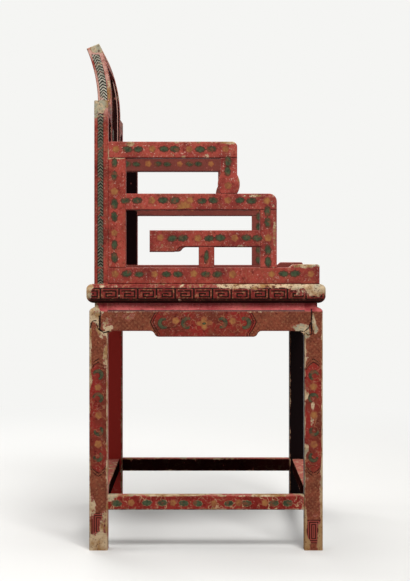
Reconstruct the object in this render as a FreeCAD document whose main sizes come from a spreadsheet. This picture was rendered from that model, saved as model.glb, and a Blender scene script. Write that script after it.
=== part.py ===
"""A red-lacquered armchair with stepped, open-fret arms, built as a joiner builds it.

Millimetres. The origin is on the floor under the middle of the seat, +Z is up, and the sitter
faces -Y. "left" is the -X side and "right" the +X side, as seen by someone facing the chair.
Every member is a separate solid with its own tenons, and every mortise is cut from the same
sizes as the tenon that goes in it, with the joint clearance added.
"""

import FreeCAD, Part
import Sketcher
import math
import os
from types import SimpleNamespace

DRIVING_SIZES = {
    # seat frame
    "seat_width": 600,
    "seat_depth": 454,
    "seat_height": 506,
    "frame_thickness": 36,
    "frame_rail_width": 68,
    "frame_top_round": 10,
    "frame_lower_round": 14,
    "frame_tenon_width": 20,
    "frame_tenon_thickness": 12,
    "frame_tenon_from_inner_edge": 11,
    "frame_tenon_end_cover": 15,
    "frame_tenon_from_underside": 6,
    # seat panel and the battens under it
    "panel_thickness": 14,
    "panel_below_frame_top": 2,
    "panel_tongue_thickness": 8,
    "panel_tongue_depth": 7,
    "panel_edge_gap": 0.5,
    "batten_width": 30,
    "batten_thickness": 16,
    "batten_spacing": 190,
    "batten_tenon_thickness": 9,
    # legs
    "leg_side": 35,
    "frame_overhang": 5,
    "leg_tenon_side": 14,
    "leg_tenon_length": 16,
    # waist and its moulding
    "waist_height": 9,
    "waist_inset": 10,
    "waist_thickness": 14,
    "moulding_height": 7,
    "moulding_radius": 9,
    # aprons
    "apron_height": 37,
    "apron_thickness": 20,
    "apron_lap_length": 14,
    "apron_lap_thickness": 8,
    "apron_drop": 11,
    "apron_ramp_length": 16,
    "bracket_reach": 12,
    "bracket_drop": 9,
    "bracket_radius": 15,
    # stretchers
    "stretcher_top": 104,
    "stretcher_height": 27.5,
    "stretcher_thickness": 25,
    "stretcher_setback": 4,
    "stretcher_tenon_length": 13,
    # arms
    "arm_inset": 13,
    "arm_thickness": 30,
    "arm_rail_height": 31.5,
    "sill_front_setback": 10.5,
    "arm_mid_reach": 321.5,
    "arm_top_reach": 246,
    "arm_mid_above_seat": 172.5,
    "arm_top_above_seat": 271.5,
    "arm_rear_upright_width": 33.5,
    "arm_post_width": 32,
    "arm_top_corner_radius": 10,
    "arm_mid_corner_radius": 15,
    "sill_corner_radius": 4,
    "sill_end_rise": 6,
    "sill_end_length": 47.5,
    "sill_end_ramp": 13,
    "lobe_height": 36,
    "lobe_swell": 5,
    "free_rail_above_seat": 102.5,
    "free_rail_length": 210.5,
    "free_end_drop": 10,
    "free_end_length": 45,
    "free_end_ramp": 18,
    "strut_width": 30,
    "strut_from_post": 102,
    # back
    "post_rear_inset": 14,
    "post_depth": 26.5,
    "post_width": 30,
    "post_above_seat": 350,
    "shoulder_rail_height": 30,
    "shoulder_drop": 8,
    "shoulder_drop_length": 14,
    "shoulder_ramp": 20,
    "stile_width": 30,
    "crest_width": 350,
    "curve_start_above_seat": 352,
    "curve_radius": 307,
    "curve_length": 118.4,
    "crest_height": 38,
    "splat_width": 90,
    "splat_thickness": 14,
    # tenons shared by the arms and the back
    "tenon_thickness": 10,
    "tenon_length": 12,
    "tenon_shoulder": 5.5,
    "sill_tenon_length": 22,
    "slip_tenon_height": 24,
    "slip_tenon_reach": 8,
    "joint_clearance": 0.15,
    # softened arrises: rounded on straight bars, chamfered on shaped ones
    "arris_radius": 2,
    "arris_chamfer": 1.2,
    "leg_arris_radius": 3,
}

# The dropped middle of an apron, as a share of the clear span between its legs.
APRON_DROP_SHARE = 0.48
# Where the two tenons under an arm's sill stand, as shares of the sill's length from its rear end.
SILL_TENON_SHARES = (0.32, 0.84)
# Where the two tenons under the back's sill stand, as shares of the crest's width from the middle.
BACK_SILL_TENON_SHARES = (-0.28, 0.28)
# Where the two slip tenons between arm and back stand, as shares of the rear upright's height.
SLIP_TENON_SHARES = (0.25, 0.82)

LEFT = -1
RIGHT = 1
FRONT = -1
REAR = 1
SIDE_NAMES = {LEFT: "left", RIGHT: "right"}
END_NAMES = {FRONT: "front", REAR: "rear"}
DEGREES_PER_RADIAN = 180 / math.pi

doc = FreeCAD.newDocument("lacquered_armchair")
sheet = doc.addObject("Spreadsheet::Sheet", "Sizes")


class Size:
    """A length that carries its spreadsheet expression beside its present value."""

    def __init__(self, text, value):
        self.text = text
        self.value = value

    def __add__(self, other):
        return joined(self, "+", other, lambda a, b: a + b)

    def __sub__(self, other):
        return joined(self, "-", other, lambda a, b: a - b)

    def __mul__(self, other):
        return joined(self, "*", other, lambda a, b: a * b)

    def __rmul__(self, other):
        return joined(other, "*", self, lambda a, b: a * b)

    def __truediv__(self, other):
        return joined(self, "/", other, lambda a, b: a / b)

    def __neg__(self):
        return Size("(0 - " + self.text + ")", -self.value)


def as_size(thing):
    """The Size itself, or a Size that holds a plain share, sign or count."""
    if isinstance(thing, Size):
        return thing
    return Size(repr(thing), float(thing))


def joined(first, sign, second, rule):
    """A Size worked out from two others."""
    a = as_size(first)
    b = as_size(second)
    return Size("(" + a.text + " " + sign + " " + b.text + ")", rule(a.value, b.value))


def sine(degrees):
    """The sine of an angle in degrees."""
    return Size("sin(" + degrees.text + ")", math.sin(math.radians(degrees.value)))


def cosine(degrees):
    """The cosine of an angle in degrees."""
    return Size("cos(" + degrees.text + ")", math.cos(math.radians(degrees.value)))


def fill_sheet():
    """Writes the driving sizes to the spreadsheet and returns them by name."""
    found = {}
    for row, (name, value) in enumerate(DRIVING_SIZES.items(), start=1):
        sheet.set("A" + str(row), name)
        sheet.set("B" + str(row), str(value))
        sheet.setAlias("B" + str(row), name)
        found[name] = Size("Sizes." + name, float(value))
    doc.recompute()
    return SimpleNamespace(**found)


dim = fill_sheet()
ZERO = as_size(0)


def span(middle, length):
    """A (low, high) pair of that length about a middle."""
    return (middle - length / 2, middle + length / 2)


def sided(side, inner, outer):
    """A (low, high) pair on one side of the chair's middle, from its inner and outer distances."""
    if side == LEFT:
        return (-outer, -inner)
    return (inner, outer)


def grown(pair):
    """A (low, high) pair with the joint clearance added at both ends."""
    return (pair[0] - dim.joint_clearance, pair[1] + dim.joint_clearance)


def block(name, x, y, z):
    """A rectangular block between a low and a high face on each axis."""
    box = doc.addObject("Part::Box", name)
    for size_name, axis, pair in zip(("Length", "Width", "Height"), "xyz", (x, y, z)):
        box.setExpression(size_name, (pair[1] - pair[0]).text)
        box.setExpression("Placement.Base." + axis, pair[0].text)
    return box


def socket(name, x, y, z):
    """The block that cuts the mortise for a tenon of these sizes."""
    return block(name, grown(x), grown(y), grown(z))


def line(point):
    """An outline step: a straight run to a point."""
    return {"to": point, "radius": None}


def arc(point, radius, bulge):
    """An outline step: an arc to a point. It bulges "left" or "right" of the way it goes."""
    return {"to": point, "radius": radius, "bulge": bulge}


def ogee(start, end):
    """Two equal arcs from start to end, level at both ends, as outline steps that rise or fall."""
    run = end[0] - start[0]
    rise = end[1] - start[1]
    middle = (start[0] + run / 2, start[1] + rise / 2)
    turns_left = run.value * rise.value > 0
    height = rise if rise.value > 0 else -rise
    radius = (run * run + rise * rise) / (height * 4)
    first, second = ("right", "left") if turns_left else ("left", "right")
    return [arc(middle, radius, first), arc(end, radius, second)]


def arc_geometry(start, end, radius, bulge):
    """The arc's geometry, and which of its ends the outline enters by."""
    run = FreeCAD.Vector(end[0].value - start[0].value, end[1].value - start[1].value, 0)
    middle = FreeCAD.Vector(start[0].value, start[1].value, 0) + run * 0.5
    to_left = FreeCAD.Vector(-run.y, run.x, 0).normalize()
    height = math.sqrt(max(radius.value**2 - run.Length**2 / 4, 0))
    clockwise = bulge == "left"
    centre = middle - to_left * height if clockwise else middle + to_left * height
    angle_in = math.atan2(start[1].value - centre.y, start[0].value - centre.x)
    angle_out = math.atan2(end[1].value - centre.y, end[0].value - centre.x)
    circle = Part.Circle(centre, FreeCAD.Vector(0, 0, 1), radius.value)
    if clockwise:
        return Part.ArcOfCircle(circle, angle_out, angle_in), 2
    return Part.ArcOfCircle(circle, angle_in, angle_out), 1


def draw(sketch, start, steps):
    """Draws a closed outline whose corners and radii are bound to the spreadsheet."""
    points = [start] + [step["to"] for step in steps]
    entries = []
    for step, here, there in zip(steps, points, points[1:]):
        if step["radius"] is None:
            low = FreeCAD.Vector(here[0].value, here[1].value, 0)
            high = FreeCAD.Vector(there[0].value, there[1].value, 0)
            edge, entry = Part.LineSegment(low, high), 1
        else:
            edge, entry = arc_geometry(here, there, step["radius"], step["bulge"])
        sketch.addGeometry(edge, False)
        entries.append(entry)
    for index, (step, here, entry) in enumerate(zip(steps, points, entries)):
        following = (index + 1) % len(steps)
        sketch.addConstraint(
            Sketcher.Constraint("Coincident", index, 3 - entry, following, entries[following])
        )
        for kind, coordinate in zip(("DistanceX", "DistanceY"), here):
            rule = Sketcher.Constraint(kind, -1, 1, index, entry, coordinate.value)
            number = sketch.addConstraint(rule)
            sketch.setExpression("Constraints[" + str(number) + "]", coordinate.text)
        if step["radius"] is not None:
            rule = Sketcher.Constraint("Radius", index, step["radius"].value)
            number = sketch.addConstraint(rule)
            sketch.setExpression("Constraints[" + str(number) + "]", step["radius"].text)


def plate(name, plane, start, steps, across, sharp=None):
    """A body padded from one outline, with its edges softened.

    The outline lies in plane "XY", "XZ" or "YZ", and across is its (low, high) pair on the third
    axis. sharp is a rule that picks, by their middle points, the edges that meet other members and
    stay square. With no rule every edge stays square.
    """
    body = doc.addObject("PartDesign::Body", name)
    sketch = body.newObject("Sketcher::SketchObject", name + "_outline")
    support = [f for f in body.Origin.OriginFeatures if f.Role == plane + "_Plane"][0]
    sketch.AttachmentSupport = (support, [""])
    sketch.MapMode = "FlatFace"
    # A sketch on the XZ plane faces -Y, so it starts at the high face.
    offset = -across[1] if plane == "XZ" else across[0]
    sketch.setExpression("AttachmentOffset.Base.z", offset.text)
    draw(sketch, start, steps)
    pad = body.newObject("PartDesign::Pad", name + "_pad")
    pad.Profile = sketch
    pad.setExpression("Length", (across[1] - across[0]).text)
    sketch.Visibility = False
    if sharp is not None:
        soften(body, pad, {"XY": "z", "XZ": "y", "YZ": "x"}[plane], across, sharp)
    return body


def soften(body, pad, axis, across, sharp):
    """Chamfers the edges round both faces of a pad, but for those that the rule keeps square."""
    doc.recompute()
    softened = []
    for number, edge in enumerate(pad.Shape.Edges, start=1):
        middle = edge.valueAt((edge.FirstParameter + edge.LastParameter) / 2)
        ends = [getattr(vertex.Point, axis) for vertex in edge.Vertexes]
        on_face = any(
            all(math.isclose(place, face.value, abs_tol=1e-6) for place in ends) for face in across
        )
        if on_face and not sharp(middle):
            softened.append("Edge" + str(number))
    chamfer = body.newObject("PartDesign::Chamfer", body.Name + "_arris")
    chamfer.Base = (pad, softened)
    chamfer.setExpression("Size", dim.arris_chamfer.text)


def at(place, level):
    """Whether a coordinate lies on a level."""
    return math.isclose(place, level.value, abs_tol=1e-6)


def rounded_section(first, second, radius):
    """The outline of a bar's section: a rectangle with rounded corners."""
    start = (first[0], second[0] + radius)
    steps = [
        line((first[0], second[1] - radius)),
        arc((first[0] + radius, second[1]), radius, "left"),
        line((first[1] - radius, second[1])),
        arc((first[1], second[1] - radius), radius, "left"),
        line((first[1], second[0] + radius)),
        arc((first[1] - radius, second[0]), radius, "left"),
        line((first[0] + radius, second[0])),
        arc(start, radius, "left"),
    ]
    return start, steps


def bar(name, along, x, y, z, radius=None):
    """A straight bar with rounded arrises, lying along one axis."""
    corner = dim.arris_radius if radius is None else radius
    if along == "x":
        return plate(name, "YZ", *rounded_section(y, z, corner), x)
    if along == "y":
        return plate(name, "XZ", *rounded_section(x, z, corner), y)
    return plate(name, "XY", *rounded_section(x, y, corner), z)


def merged(name, pieces):
    """One object made of several."""
    if len(pieces) == 1:
        return pieces[0]
    fuse = doc.addObject("Part::MultiFuse", name)
    fuse.Shapes = pieces
    return fuse


finished = []


def finish(label, adds, cuts=()):
    """Names the finished piece: the adds joined together, less the cuts."""
    piece = merged(label + "_whole", list(adds))
    if cuts:
        cut = doc.addObject("Part::Cut", label + "_cut")
        cut.Base = piece
        cut.Tool = merged(label + "_cuts", list(cuts))
        piece = cut
    piece.Label = label
    finished.append(piece)
    return piece


# Levels
frame_top = dim.seat_height
frame_bottom = frame_top - dim.frame_thickness
neck_bottom = frame_bottom - dim.waist_height
apron_top = neck_bottom - dim.moulding_height
apron_bottom = apron_top - dim.apron_height

# Outer faces of the seat frame and of the legs, and the legs' inner faces
half_width = dim.seat_width / 2
half_depth = dim.seat_depth / 2
leg_x = half_width - dim.frame_overhang
leg_y = half_depth - dim.frame_overhang
leg_inner_x = leg_x - dim.leg_side
leg_inner_y = leg_y - dim.leg_side
neck_x = leg_x - dim.waist_inset
neck_y = leg_y - dim.waist_inset

# Inner edges of the seat frame
rail_inner_x = half_width - dim.frame_rail_width
rail_inner_y = half_depth - dim.frame_rail_width


def leg_profile(outer, inner, name, plane, across):
    """A leg's outline on one side: straight, with the moulded shoulder and the neck at its top."""
    inward = "left" if outer.value < 0 else "right"
    neck = outer + dim.waist_inset if outer.value < 0 else outer - dim.waist_inset
    steps = [
        line((outer, apron_top)),
        arc((neck, neck_bottom), dim.moulding_radius, inward),
        line((neck, frame_bottom)),
        line((inner, frame_bottom)),
        line((inner, ZERO)),
        line((outer, ZERO)),
    ]
    return plate(name, plane, (outer, ZERO), steps, across)


def leg_tenon_place(side, end):
    """Where a leg's tenon enters the seat frame: its x, y and z pairs."""
    x = span(side * (neck_x + leg_inner_x) / 2, dim.leg_tenon_side)
    y = span(end * (neck_y + leg_inner_y) / 2, dim.leg_tenon_side)
    return x, y, (frame_bottom, frame_bottom + dim.leg_tenon_length)


stretcher_z = (dim.stretcher_top - dim.stretcher_height, dim.stretcher_top)
stretcher_tenon_z = (
    stretcher_z[0] + dim.tenon_shoulder,
    stretcher_z[1] - dim.tenon_shoulder,
)


def side_stretcher_x(side):
    """The x pair of a side stretcher."""
    outer = leg_x - dim.stretcher_setback
    return sided(side, outer - dim.stretcher_thickness, outer)


def cross_stretcher_y(end):
    """The y pair of the front or rear stretcher."""
    outer = leg_y - dim.stretcher_setback
    return sided(end, outer - dim.stretcher_thickness, outer)


def side_stretcher_tenon(side, end):
    """The tenon of a side stretcher in one leg."""
    low, high = side_stretcher_x(side)
    x = span((low + high) / 2, dim.tenon_thickness)
    y = sided(end, leg_inner_y, leg_inner_y + dim.stretcher_tenon_length)
    return x, y, stretcher_tenon_z


def cross_stretcher_tenon(side, end):
    """The tenon of the front or rear stretcher in one leg."""
    low, high = cross_stretcher_y(end)
    x = sided(side, leg_inner_x, leg_inner_x + dim.stretcher_tenon_length)
    y = span((low + high) / 2, dim.tenon_thickness)
    return x, y, stretcher_tenon_z


def side_apron_lap(side, end):
    """The lap of a side apron over one leg."""
    x = sided(side, leg_x - dim.apron_lap_thickness, leg_x)
    y = sided(end, leg_inner_y, leg_inner_y + dim.apron_lap_length)
    return x, y, (apron_bottom, apron_top)


def cross_apron_lap(side, end):
    """The lap of the front or rear apron over one leg."""
    x = sided(side, leg_inner_x, leg_inner_x + dim.apron_lap_length)
    y = sided(end, leg_y - dim.apron_lap_thickness, leg_y)
    return x, y, (apron_bottom, apron_top)


def make_leg(side, end):
    """A straight square leg with a moulded shoulder, a neck inside the waist and a top tenon."""
    label = "leg_" + END_NAMES[end] + "_" + SIDE_NAMES[side]
    x = sided(side, leg_inner_x, leg_x)
    y = sided(end, leg_inner_y, leg_y)
    seen_from_side = leg_profile(end * leg_y, end * leg_inner_y, label + "_side", "YZ", x)
    seen_from_front = leg_profile(side * leg_x, side * leg_inner_x, label + "_front", "XZ", y)
    blank = doc.addObject("Part::MultiCommon", label + "_blank")
    seen_from_above = bar(label + "_section", "z", x, y, (ZERO, frame_bottom), dim.leg_arris_radius)
    blank.Shapes = [seen_from_side, seen_from_front, seen_from_above]
    tenon = block(label + "_tenon", *leg_tenon_place(side, end))
    cuts = [
        socket(label + "_side_stretcher_socket", *side_stretcher_tenon(side, end)),
        socket(label + "_cross_stretcher_socket", *cross_stretcher_tenon(side, end)),
        block(label + "_side_lap", *side_apron_lap(side, end)),
        block(label + "_cross_lap", *cross_apron_lap(side, end)),
    ]
    finish(label, [blank, tenon], cuts)


def make_stretchers():
    """The four stretchers of the box frame between the legs."""
    for side in (LEFT, RIGHT):
        label = "stretcher_" + SIDE_NAMES[side]
        rail = bar(label + "_bar", "y", side_stretcher_x(side), (-leg_inner_y, leg_inner_y), stretcher_z)
        places = [side_stretcher_tenon(side, end) for end in (FRONT, REAR)]
        finish(label, [rail] + tenons(label, places))
    for end in (FRONT, REAR):
        label = "stretcher_" + END_NAMES[end]
        rail = bar(label + "_bar", "x", (-leg_inner_x, leg_inner_x), cross_stretcher_y(end), stretcher_z)
        places = [cross_stretcher_tenon(side, end) for side in (LEFT, RIGHT)]
        finish(label, [rail] + tenons(label, places))


def apron_outline(half_span):
    """An apron's outline: laps at its ends, small brackets at the legs and a dropped middle."""
    lap_end = half_span + dim.apron_lap_length
    drop_half = half_span * APRON_DROP_SHARE
    ramp_end = drop_half + dim.apron_ramp_length
    drop_level = apron_bottom - dim.apron_drop
    bracket_tip = apron_bottom - dim.bracket_drop
    bracket_end = half_span - dim.bracket_reach
    start = (-lap_end, apron_top)
    steps = [
        line((lap_end, apron_top)),
        line((lap_end, apron_bottom)),
        line((half_span, apron_bottom)),
        line((half_span, bracket_tip)),
        arc((bracket_end, apron_bottom), dim.bracket_radius, "right"),
        line((ramp_end, apron_bottom)),
        *ogee((ramp_end, apron_bottom), (drop_half, drop_level)),
        line((-drop_half, drop_level)),
        *ogee((-drop_half, drop_level), (-ramp_end, apron_bottom)),
        line((-bracket_end, apron_bottom)),
        arc((-half_span, bracket_tip), dim.bracket_radius, "right"),
        line((-half_span, apron_bottom)),
        line((-lap_end, apron_bottom)),
        line(start),
    ]
    return start, steps


def make_aprons():
    """The four aprons. Each keeps its full thickness between the legs and laps thinly over them."""
    z = (apron_bottom - dim.apron_drop, apron_top)
    for side in (LEFT, RIGHT):
        label = "apron_" + SIDE_NAMES[side]
        x = sided(side, leg_x - dim.apron_thickness, leg_x)
        board = plate(label + "_board", "YZ", *apron_outline(leg_inner_y), x)
        back = sided(side, leg_x - dim.apron_thickness, leg_x - dim.apron_lap_thickness)
        cuts = [
            block(label + "_lap_" + END_NAMES[end], back, sided(end, leg_inner_y, leg_y), z)
            for end in (FRONT, REAR)
        ]
        finish(label, [board], cuts)
    for end in (FRONT, REAR):
        label = "apron_" + END_NAMES[end]
        y = sided(end, leg_y - dim.apron_thickness, leg_y)
        board = plate(label + "_board", "XZ", *apron_outline(leg_inner_x), y)
        back = sided(end, leg_y - dim.apron_thickness, leg_y - dim.apron_lap_thickness)
        cuts = [
            block(label + "_lap_" + SIDE_NAMES[side], sided(side, leg_inner_x, leg_x), back, z)
            for side in (LEFT, RIGHT)
        ]
        finish(label, [board], cuts)


def waist_outline(face, neck):
    """A waist strip's section: a rounded moulding below, the recessed waist above."""
    if face.value < 0:
        inner = neck + dim.waist_thickness
        bulge = "left"
    else:
        inner = neck - dim.waist_thickness
        bulge = "right"
    start = (inner, apron_top)
    steps = [
        line((face, apron_top)),
        arc((neck, neck_bottom), dim.moulding_radius, bulge),
        line((neck, frame_bottom)),
        line((inner, frame_bottom)),
        line(start),
    ]
    return start, steps


def make_waist():
    """The four waist strips between the necks of the legs."""
    for side in (LEFT, RIGHT):
        outline = waist_outline(side * leg_x, side * neck_x)
        strip = plate(
            "waist_" + SIDE_NAMES[side] + "_strip", "XZ", *outline, (-leg_inner_y, leg_inner_y)
        )
        finish("waist_" + SIDE_NAMES[side], [strip])
    for end in (FRONT, REAR):
        outline = waist_outline(end * leg_y, end * neck_y)
        strip = plate(
            "waist_" + END_NAMES[end] + "_strip", "YZ", *outline, (-leg_inner_x, leg_inner_x)
        )
        finish("waist_" + END_NAMES[end], [strip])


# Arms and back: outer faces, depths and levels
arm_outer = half_width - dim.arm_inset
arm_inner = arm_outer - dim.arm_thickness
arm_middle = (arm_outer + arm_inner) / 2
post_inner = arm_outer - dim.post_width
post_middle = (arm_outer + post_inner) / 2
back_rear = half_depth - dim.post_rear_inset
back_front = back_rear - dim.post_depth
back_middle = (back_rear + back_front) / 2
sill_top = frame_top + dim.arm_rail_height
arm_mid_top = frame_top + dim.arm_mid_above_seat
arm_mid_bottom = arm_mid_top - dim.arm_rail_height
arm_top = frame_top + dim.arm_top_above_seat
arm_top_bottom = arm_top - dim.arm_rail_height
free_top = frame_top + dim.free_rail_above_seat
free_bottom = free_top - dim.arm_rail_height
post_top = frame_top + dim.post_above_seat
shoulder_bottom = post_top - dim.shoulder_rail_height

# Along the arms, from the back post's front face forward
upright_front = back_front - dim.arm_rear_upright_width
sill_front = dim.sill_front_setback - half_depth
sill_length = back_front - sill_front
mid_front = back_front - dim.arm_mid_reach
top_front = back_front - dim.arm_top_reach
lower_post_rear = mid_front + dim.arm_post_width
upper_post_rear = top_front + dim.arm_post_width
free_rear = lower_post_rear + dim.free_rail_length
strut_middle = lower_post_rear + dim.strut_from_post

# Across the back
stile_outer = dim.crest_width / 2
stile_inner = stile_outer - dim.stile_width
stile_middle = (stile_outer + stile_inner) / 2
curve_start = frame_top + dim.curve_start_above_seat
curve_centre_y = back_front + dim.curve_radius


def upright_tenon(side, y, level, rises):
    """The tenon of an arm upright that spans y, going up or down from a level."""
    x = span(side * arm_middle, dim.tenon_thickness)
    z = (level, level + dim.tenon_length) if rises else (level - dim.tenon_length, level)
    return x, (y[0] + dim.tenon_shoulder, y[1] - dim.tenon_shoulder), z


def rail_tenon(side, face, z, goes_forward):
    """The tenon of an arm rail that spans z, going on from a face."""
    x = span(side * arm_middle, dim.tenon_thickness)
    y = (face - dim.tenon_length, face) if goes_forward else (face, face + dim.tenon_length)
    return x, y, (z[0] + dim.tenon_shoulder, z[1] - dim.tenon_shoulder)


def arm_sill_tenons(side):
    """The two tenons under an arm's sill, as x, y and z pairs."""
    x = span(side * arm_middle, dim.tenon_thickness)
    z = (frame_top - dim.tenon_length, frame_top)
    middles = [back_front - sill_length * share for share in SILL_TENON_SHARES]
    return [(x, span(middle, dim.sill_tenon_length), z) for middle in middles]


def back_sill_tenons():
    """The two tenons under the back's sill, as x, y and z pairs."""
    y = span(back_middle, dim.tenon_thickness)
    z = (frame_top - dim.tenon_length, frame_top)
    middles = [dim.crest_width * share for share in BACK_SILL_TENON_SHARES]
    return [(span(middle, dim.sill_tenon_length), y, z) for middle in middles]


def slip_tenons(side):
    """The loose tenons between an arm's rear upright and the back post."""
    x = span(side * arm_middle, dim.tenon_thickness)
    y = (back_front - dim.slip_tenon_reach, back_front + dim.slip_tenon_reach)
    height = arm_top_bottom - sill_top
    middles = [sill_top + height * share for share in SLIP_TENON_SHARES]
    return [(x, y, span(middle, dim.slip_tenon_height)) for middle in middles]


def post_foot_tenon(side):
    """The tenon under a back post, in the corner of the seat frame."""
    x = span(side * post_middle, dim.leg_tenon_side)
    y = span(back_middle, dim.leg_tenon_side)
    return x, y, (frame_top - dim.tenon_length, frame_top)


def sockets(label, places):
    """The blocks that cut mortises for tenons at these places."""
    return [socket(label + "_socket", *place) for place in places]


def tenons(label, places):
    """The tenons at these places."""
    return [block(label + "_tenon", *place) for place in places]


def frame_section(outer, inner):
    """A seat rail's section: flat inside, rounded above and below along its outer edge."""
    if outer.value < 0:
        lower = outer + dim.frame_lower_round
        upper = outer + dim.frame_top_round
        bulge = "left"
    else:
        lower = outer - dim.frame_lower_round
        upper = outer - dim.frame_top_round
        bulge = "right"
    start = (inner, frame_bottom)
    steps = [
        line((lower, frame_bottom)),
        arc((outer, frame_bottom + dim.frame_lower_round), dim.frame_lower_round, bulge),
        line((outer, frame_top - dim.frame_top_round)),
        arc((upper, frame_top), dim.frame_top_round, bulge),
        line((inner, frame_top)),
        line(start),
    ]
    return start, steps


def mitre_wedge(name, side, end, keeps_side_rail):
    """A prism over one corner of the frame that takes away the other rail's half of the mitre."""
    outer = (side * half_width, end * half_depth)
    inner = (side * rail_inner_x, end * rail_inner_y)
    reach = dim.frame_rail_width
    beyond = (outer[0] + side * reach, outer[1] + end * reach)
    if keeps_side_rail:
        square = (inner[0], beyond[1])
    else:
        square = (beyond[0], inner[1])
    height = (frame_bottom - reach, frame_top + reach)
    return plate(name, "XY", inner, [line(beyond), line(square), line(inner)], height)


def frame_tenon(side, end):
    """The tenon of the front or rear seat rail in a side rail, through their mitre."""
    inner_edge = rail_inner_y + dim.frame_tenon_from_inner_edge
    x = sided(side, rail_inner_x - dim.frame_tenon_width, half_width - dim.frame_tenon_end_cover)
    y = sided(end, inner_edge, inner_edge + dim.frame_tenon_width)
    bottom = frame_bottom + dim.frame_tenon_from_underside
    return x, y, (bottom, bottom + dim.frame_tenon_thickness)


panel_top = frame_top - dim.panel_below_frame_top
panel_bottom = panel_top - dim.panel_thickness


def panel_groove(label):
    """The block that cuts the panel's groove round the inside of the seat frame."""
    reach = dim.panel_tongue_depth + dim.panel_edge_gap
    x = (-rail_inner_x - reach, rail_inner_x + reach)
    y = (-rail_inner_y - reach, rail_inner_y + reach)
    return block(label + "_groove", x, y, grown((panel_bottom, panel_bottom + dim.panel_tongue_thickness)))


def batten_places():
    """The x pair of each batten under the seat."""
    return {side: span(side * dim.batten_spacing / 2, dim.batten_width) for side in (LEFT, RIGHT)}


def batten_tenon(side, end):
    """A batten's tenon in the front or rear seat rail."""
    low, high = batten_places()[side]
    x = (low + dim.tenon_shoulder, high - dim.tenon_shoulder)
    y = sided(end, rail_inner_y, rail_inner_y + dim.tenon_length)
    return x, y, span(panel_bottom - dim.batten_thickness / 2, dim.batten_tenon_thickness)


def make_side_seat_rail(side):
    """A side rail of the seat frame, mitred at both ends and mortised for the long rails."""
    label = "seat_rail_" + SIDE_NAMES[side]
    outline = frame_section(side * half_width, side * rail_inner_x)
    rail = plate(label + "_bar", "XZ", *outline, (-half_depth, half_depth))
    cuts = [panel_groove(label)]
    for end in (FRONT, REAR):
        cuts.append(mitre_wedge(label + "_mitre_" + END_NAMES[end], side, end, True))
        cuts += sockets(label, [frame_tenon(side, end), leg_tenon_place(side, end)])
    cuts += sockets(label, arm_sill_tenons(side) + [post_foot_tenon(side)])
    finish(label, [rail], cuts)


def make_long_seat_rail(end):
    """The front or rear rail of the seat frame, mitred at both ends, with a tenon in each mitre."""
    label = "seat_rail_" + END_NAMES[end]
    outline = frame_section(end * half_depth, end * rail_inner_y)
    cut = doc.addObject("Part::Cut", label + "_mitred")
    cut.Base = plate(label + "_bar", "YZ", *outline, (-half_width, half_width))
    cut.Tool = merged(
        label + "_mitres",
        [mitre_wedge(label + "_mitre_" + SIDE_NAMES[side], side, end, False) for side in (LEFT, RIGHT)],
    )
    adds = [cut] + tenons(label, [frame_tenon(side, end) for side in (LEFT, RIGHT)])
    cuts = [panel_groove(label)]
    for side in (LEFT, RIGHT):
        cuts += sockets(label, [leg_tenon_place(side, end), batten_tenon(side, end)])
    if end == REAR:
        cuts += sockets(label, back_sill_tenons())
        cuts += sockets(label, [post_foot_tenon(side) for side in (LEFT, RIGHT)])
    finish(label, adds, cuts)


def make_seat_panel():
    """The floating seat panel with its tongue all round, and the two battens that carry it."""
    inside_x = rail_inner_x - dim.panel_edge_gap
    inside_y = rail_inner_y - dim.panel_edge_gap
    board = block("seat_board", (-inside_x, inside_x), (-inside_y, inside_y), (panel_bottom, panel_top))
    tongue_x = rail_inner_x + dim.panel_tongue_depth
    tongue_y = rail_inner_y + dim.panel_tongue_depth
    tongue_z = (panel_bottom, panel_bottom + dim.panel_tongue_thickness)
    tongue = block("seat_tongue", (-tongue_x, tongue_x), (-tongue_y, tongue_y), tongue_z)
    finish("seat_panel", [board, tongue])
    for side, x in batten_places().items():
        label = "seat_batten_" + SIDE_NAMES[side]
        y = (-rail_inner_y, rail_inner_y)
        strip = block(label + "_bar", x, y, (panel_bottom - dim.batten_thickness, panel_bottom))
        finish(label, [strip] + tenons(label, [batten_tenon(side, end) for end in (FRONT, REAR)]))


def rounded_front_rail(name, rear, front, bottom, top, radius, x):
    """An arm rail whose top front corner is rounded."""
    start = (rear, bottom)
    steps = [
        line((rear, top)),
        line((front + radius, top)),
        arc((front, top - radius), radius, "right"),
        line((front, bottom)),
        line(start),
    ]
    return plate(name, "YZ", start, steps, x, lambda middle: at(middle.y, rear))


def stepped_sill(name, x):
    """An arm's sill, whose top steps up in an ogee to a raised front end."""
    end_top = sill_top + dim.sill_end_rise
    end_rear = sill_front + dim.sill_end_length
    ramp_rear = end_rear + dim.sill_end_ramp
    radius = dim.sill_corner_radius
    start = (back_front, frame_top)
    steps = [
        line((back_front, sill_top)),
        line((ramp_rear, sill_top)),
        *ogee((ramp_rear, sill_top), (end_rear, end_top)),
        line((sill_front + radius, end_top)),
        arc((sill_front, end_top - radius), radius, "right"),
        line((sill_front, frame_top)),
        line(start),
    ]
    return plate(name, "YZ", start, steps, x, lambda middle: at(middle.y, back_front))


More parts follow.
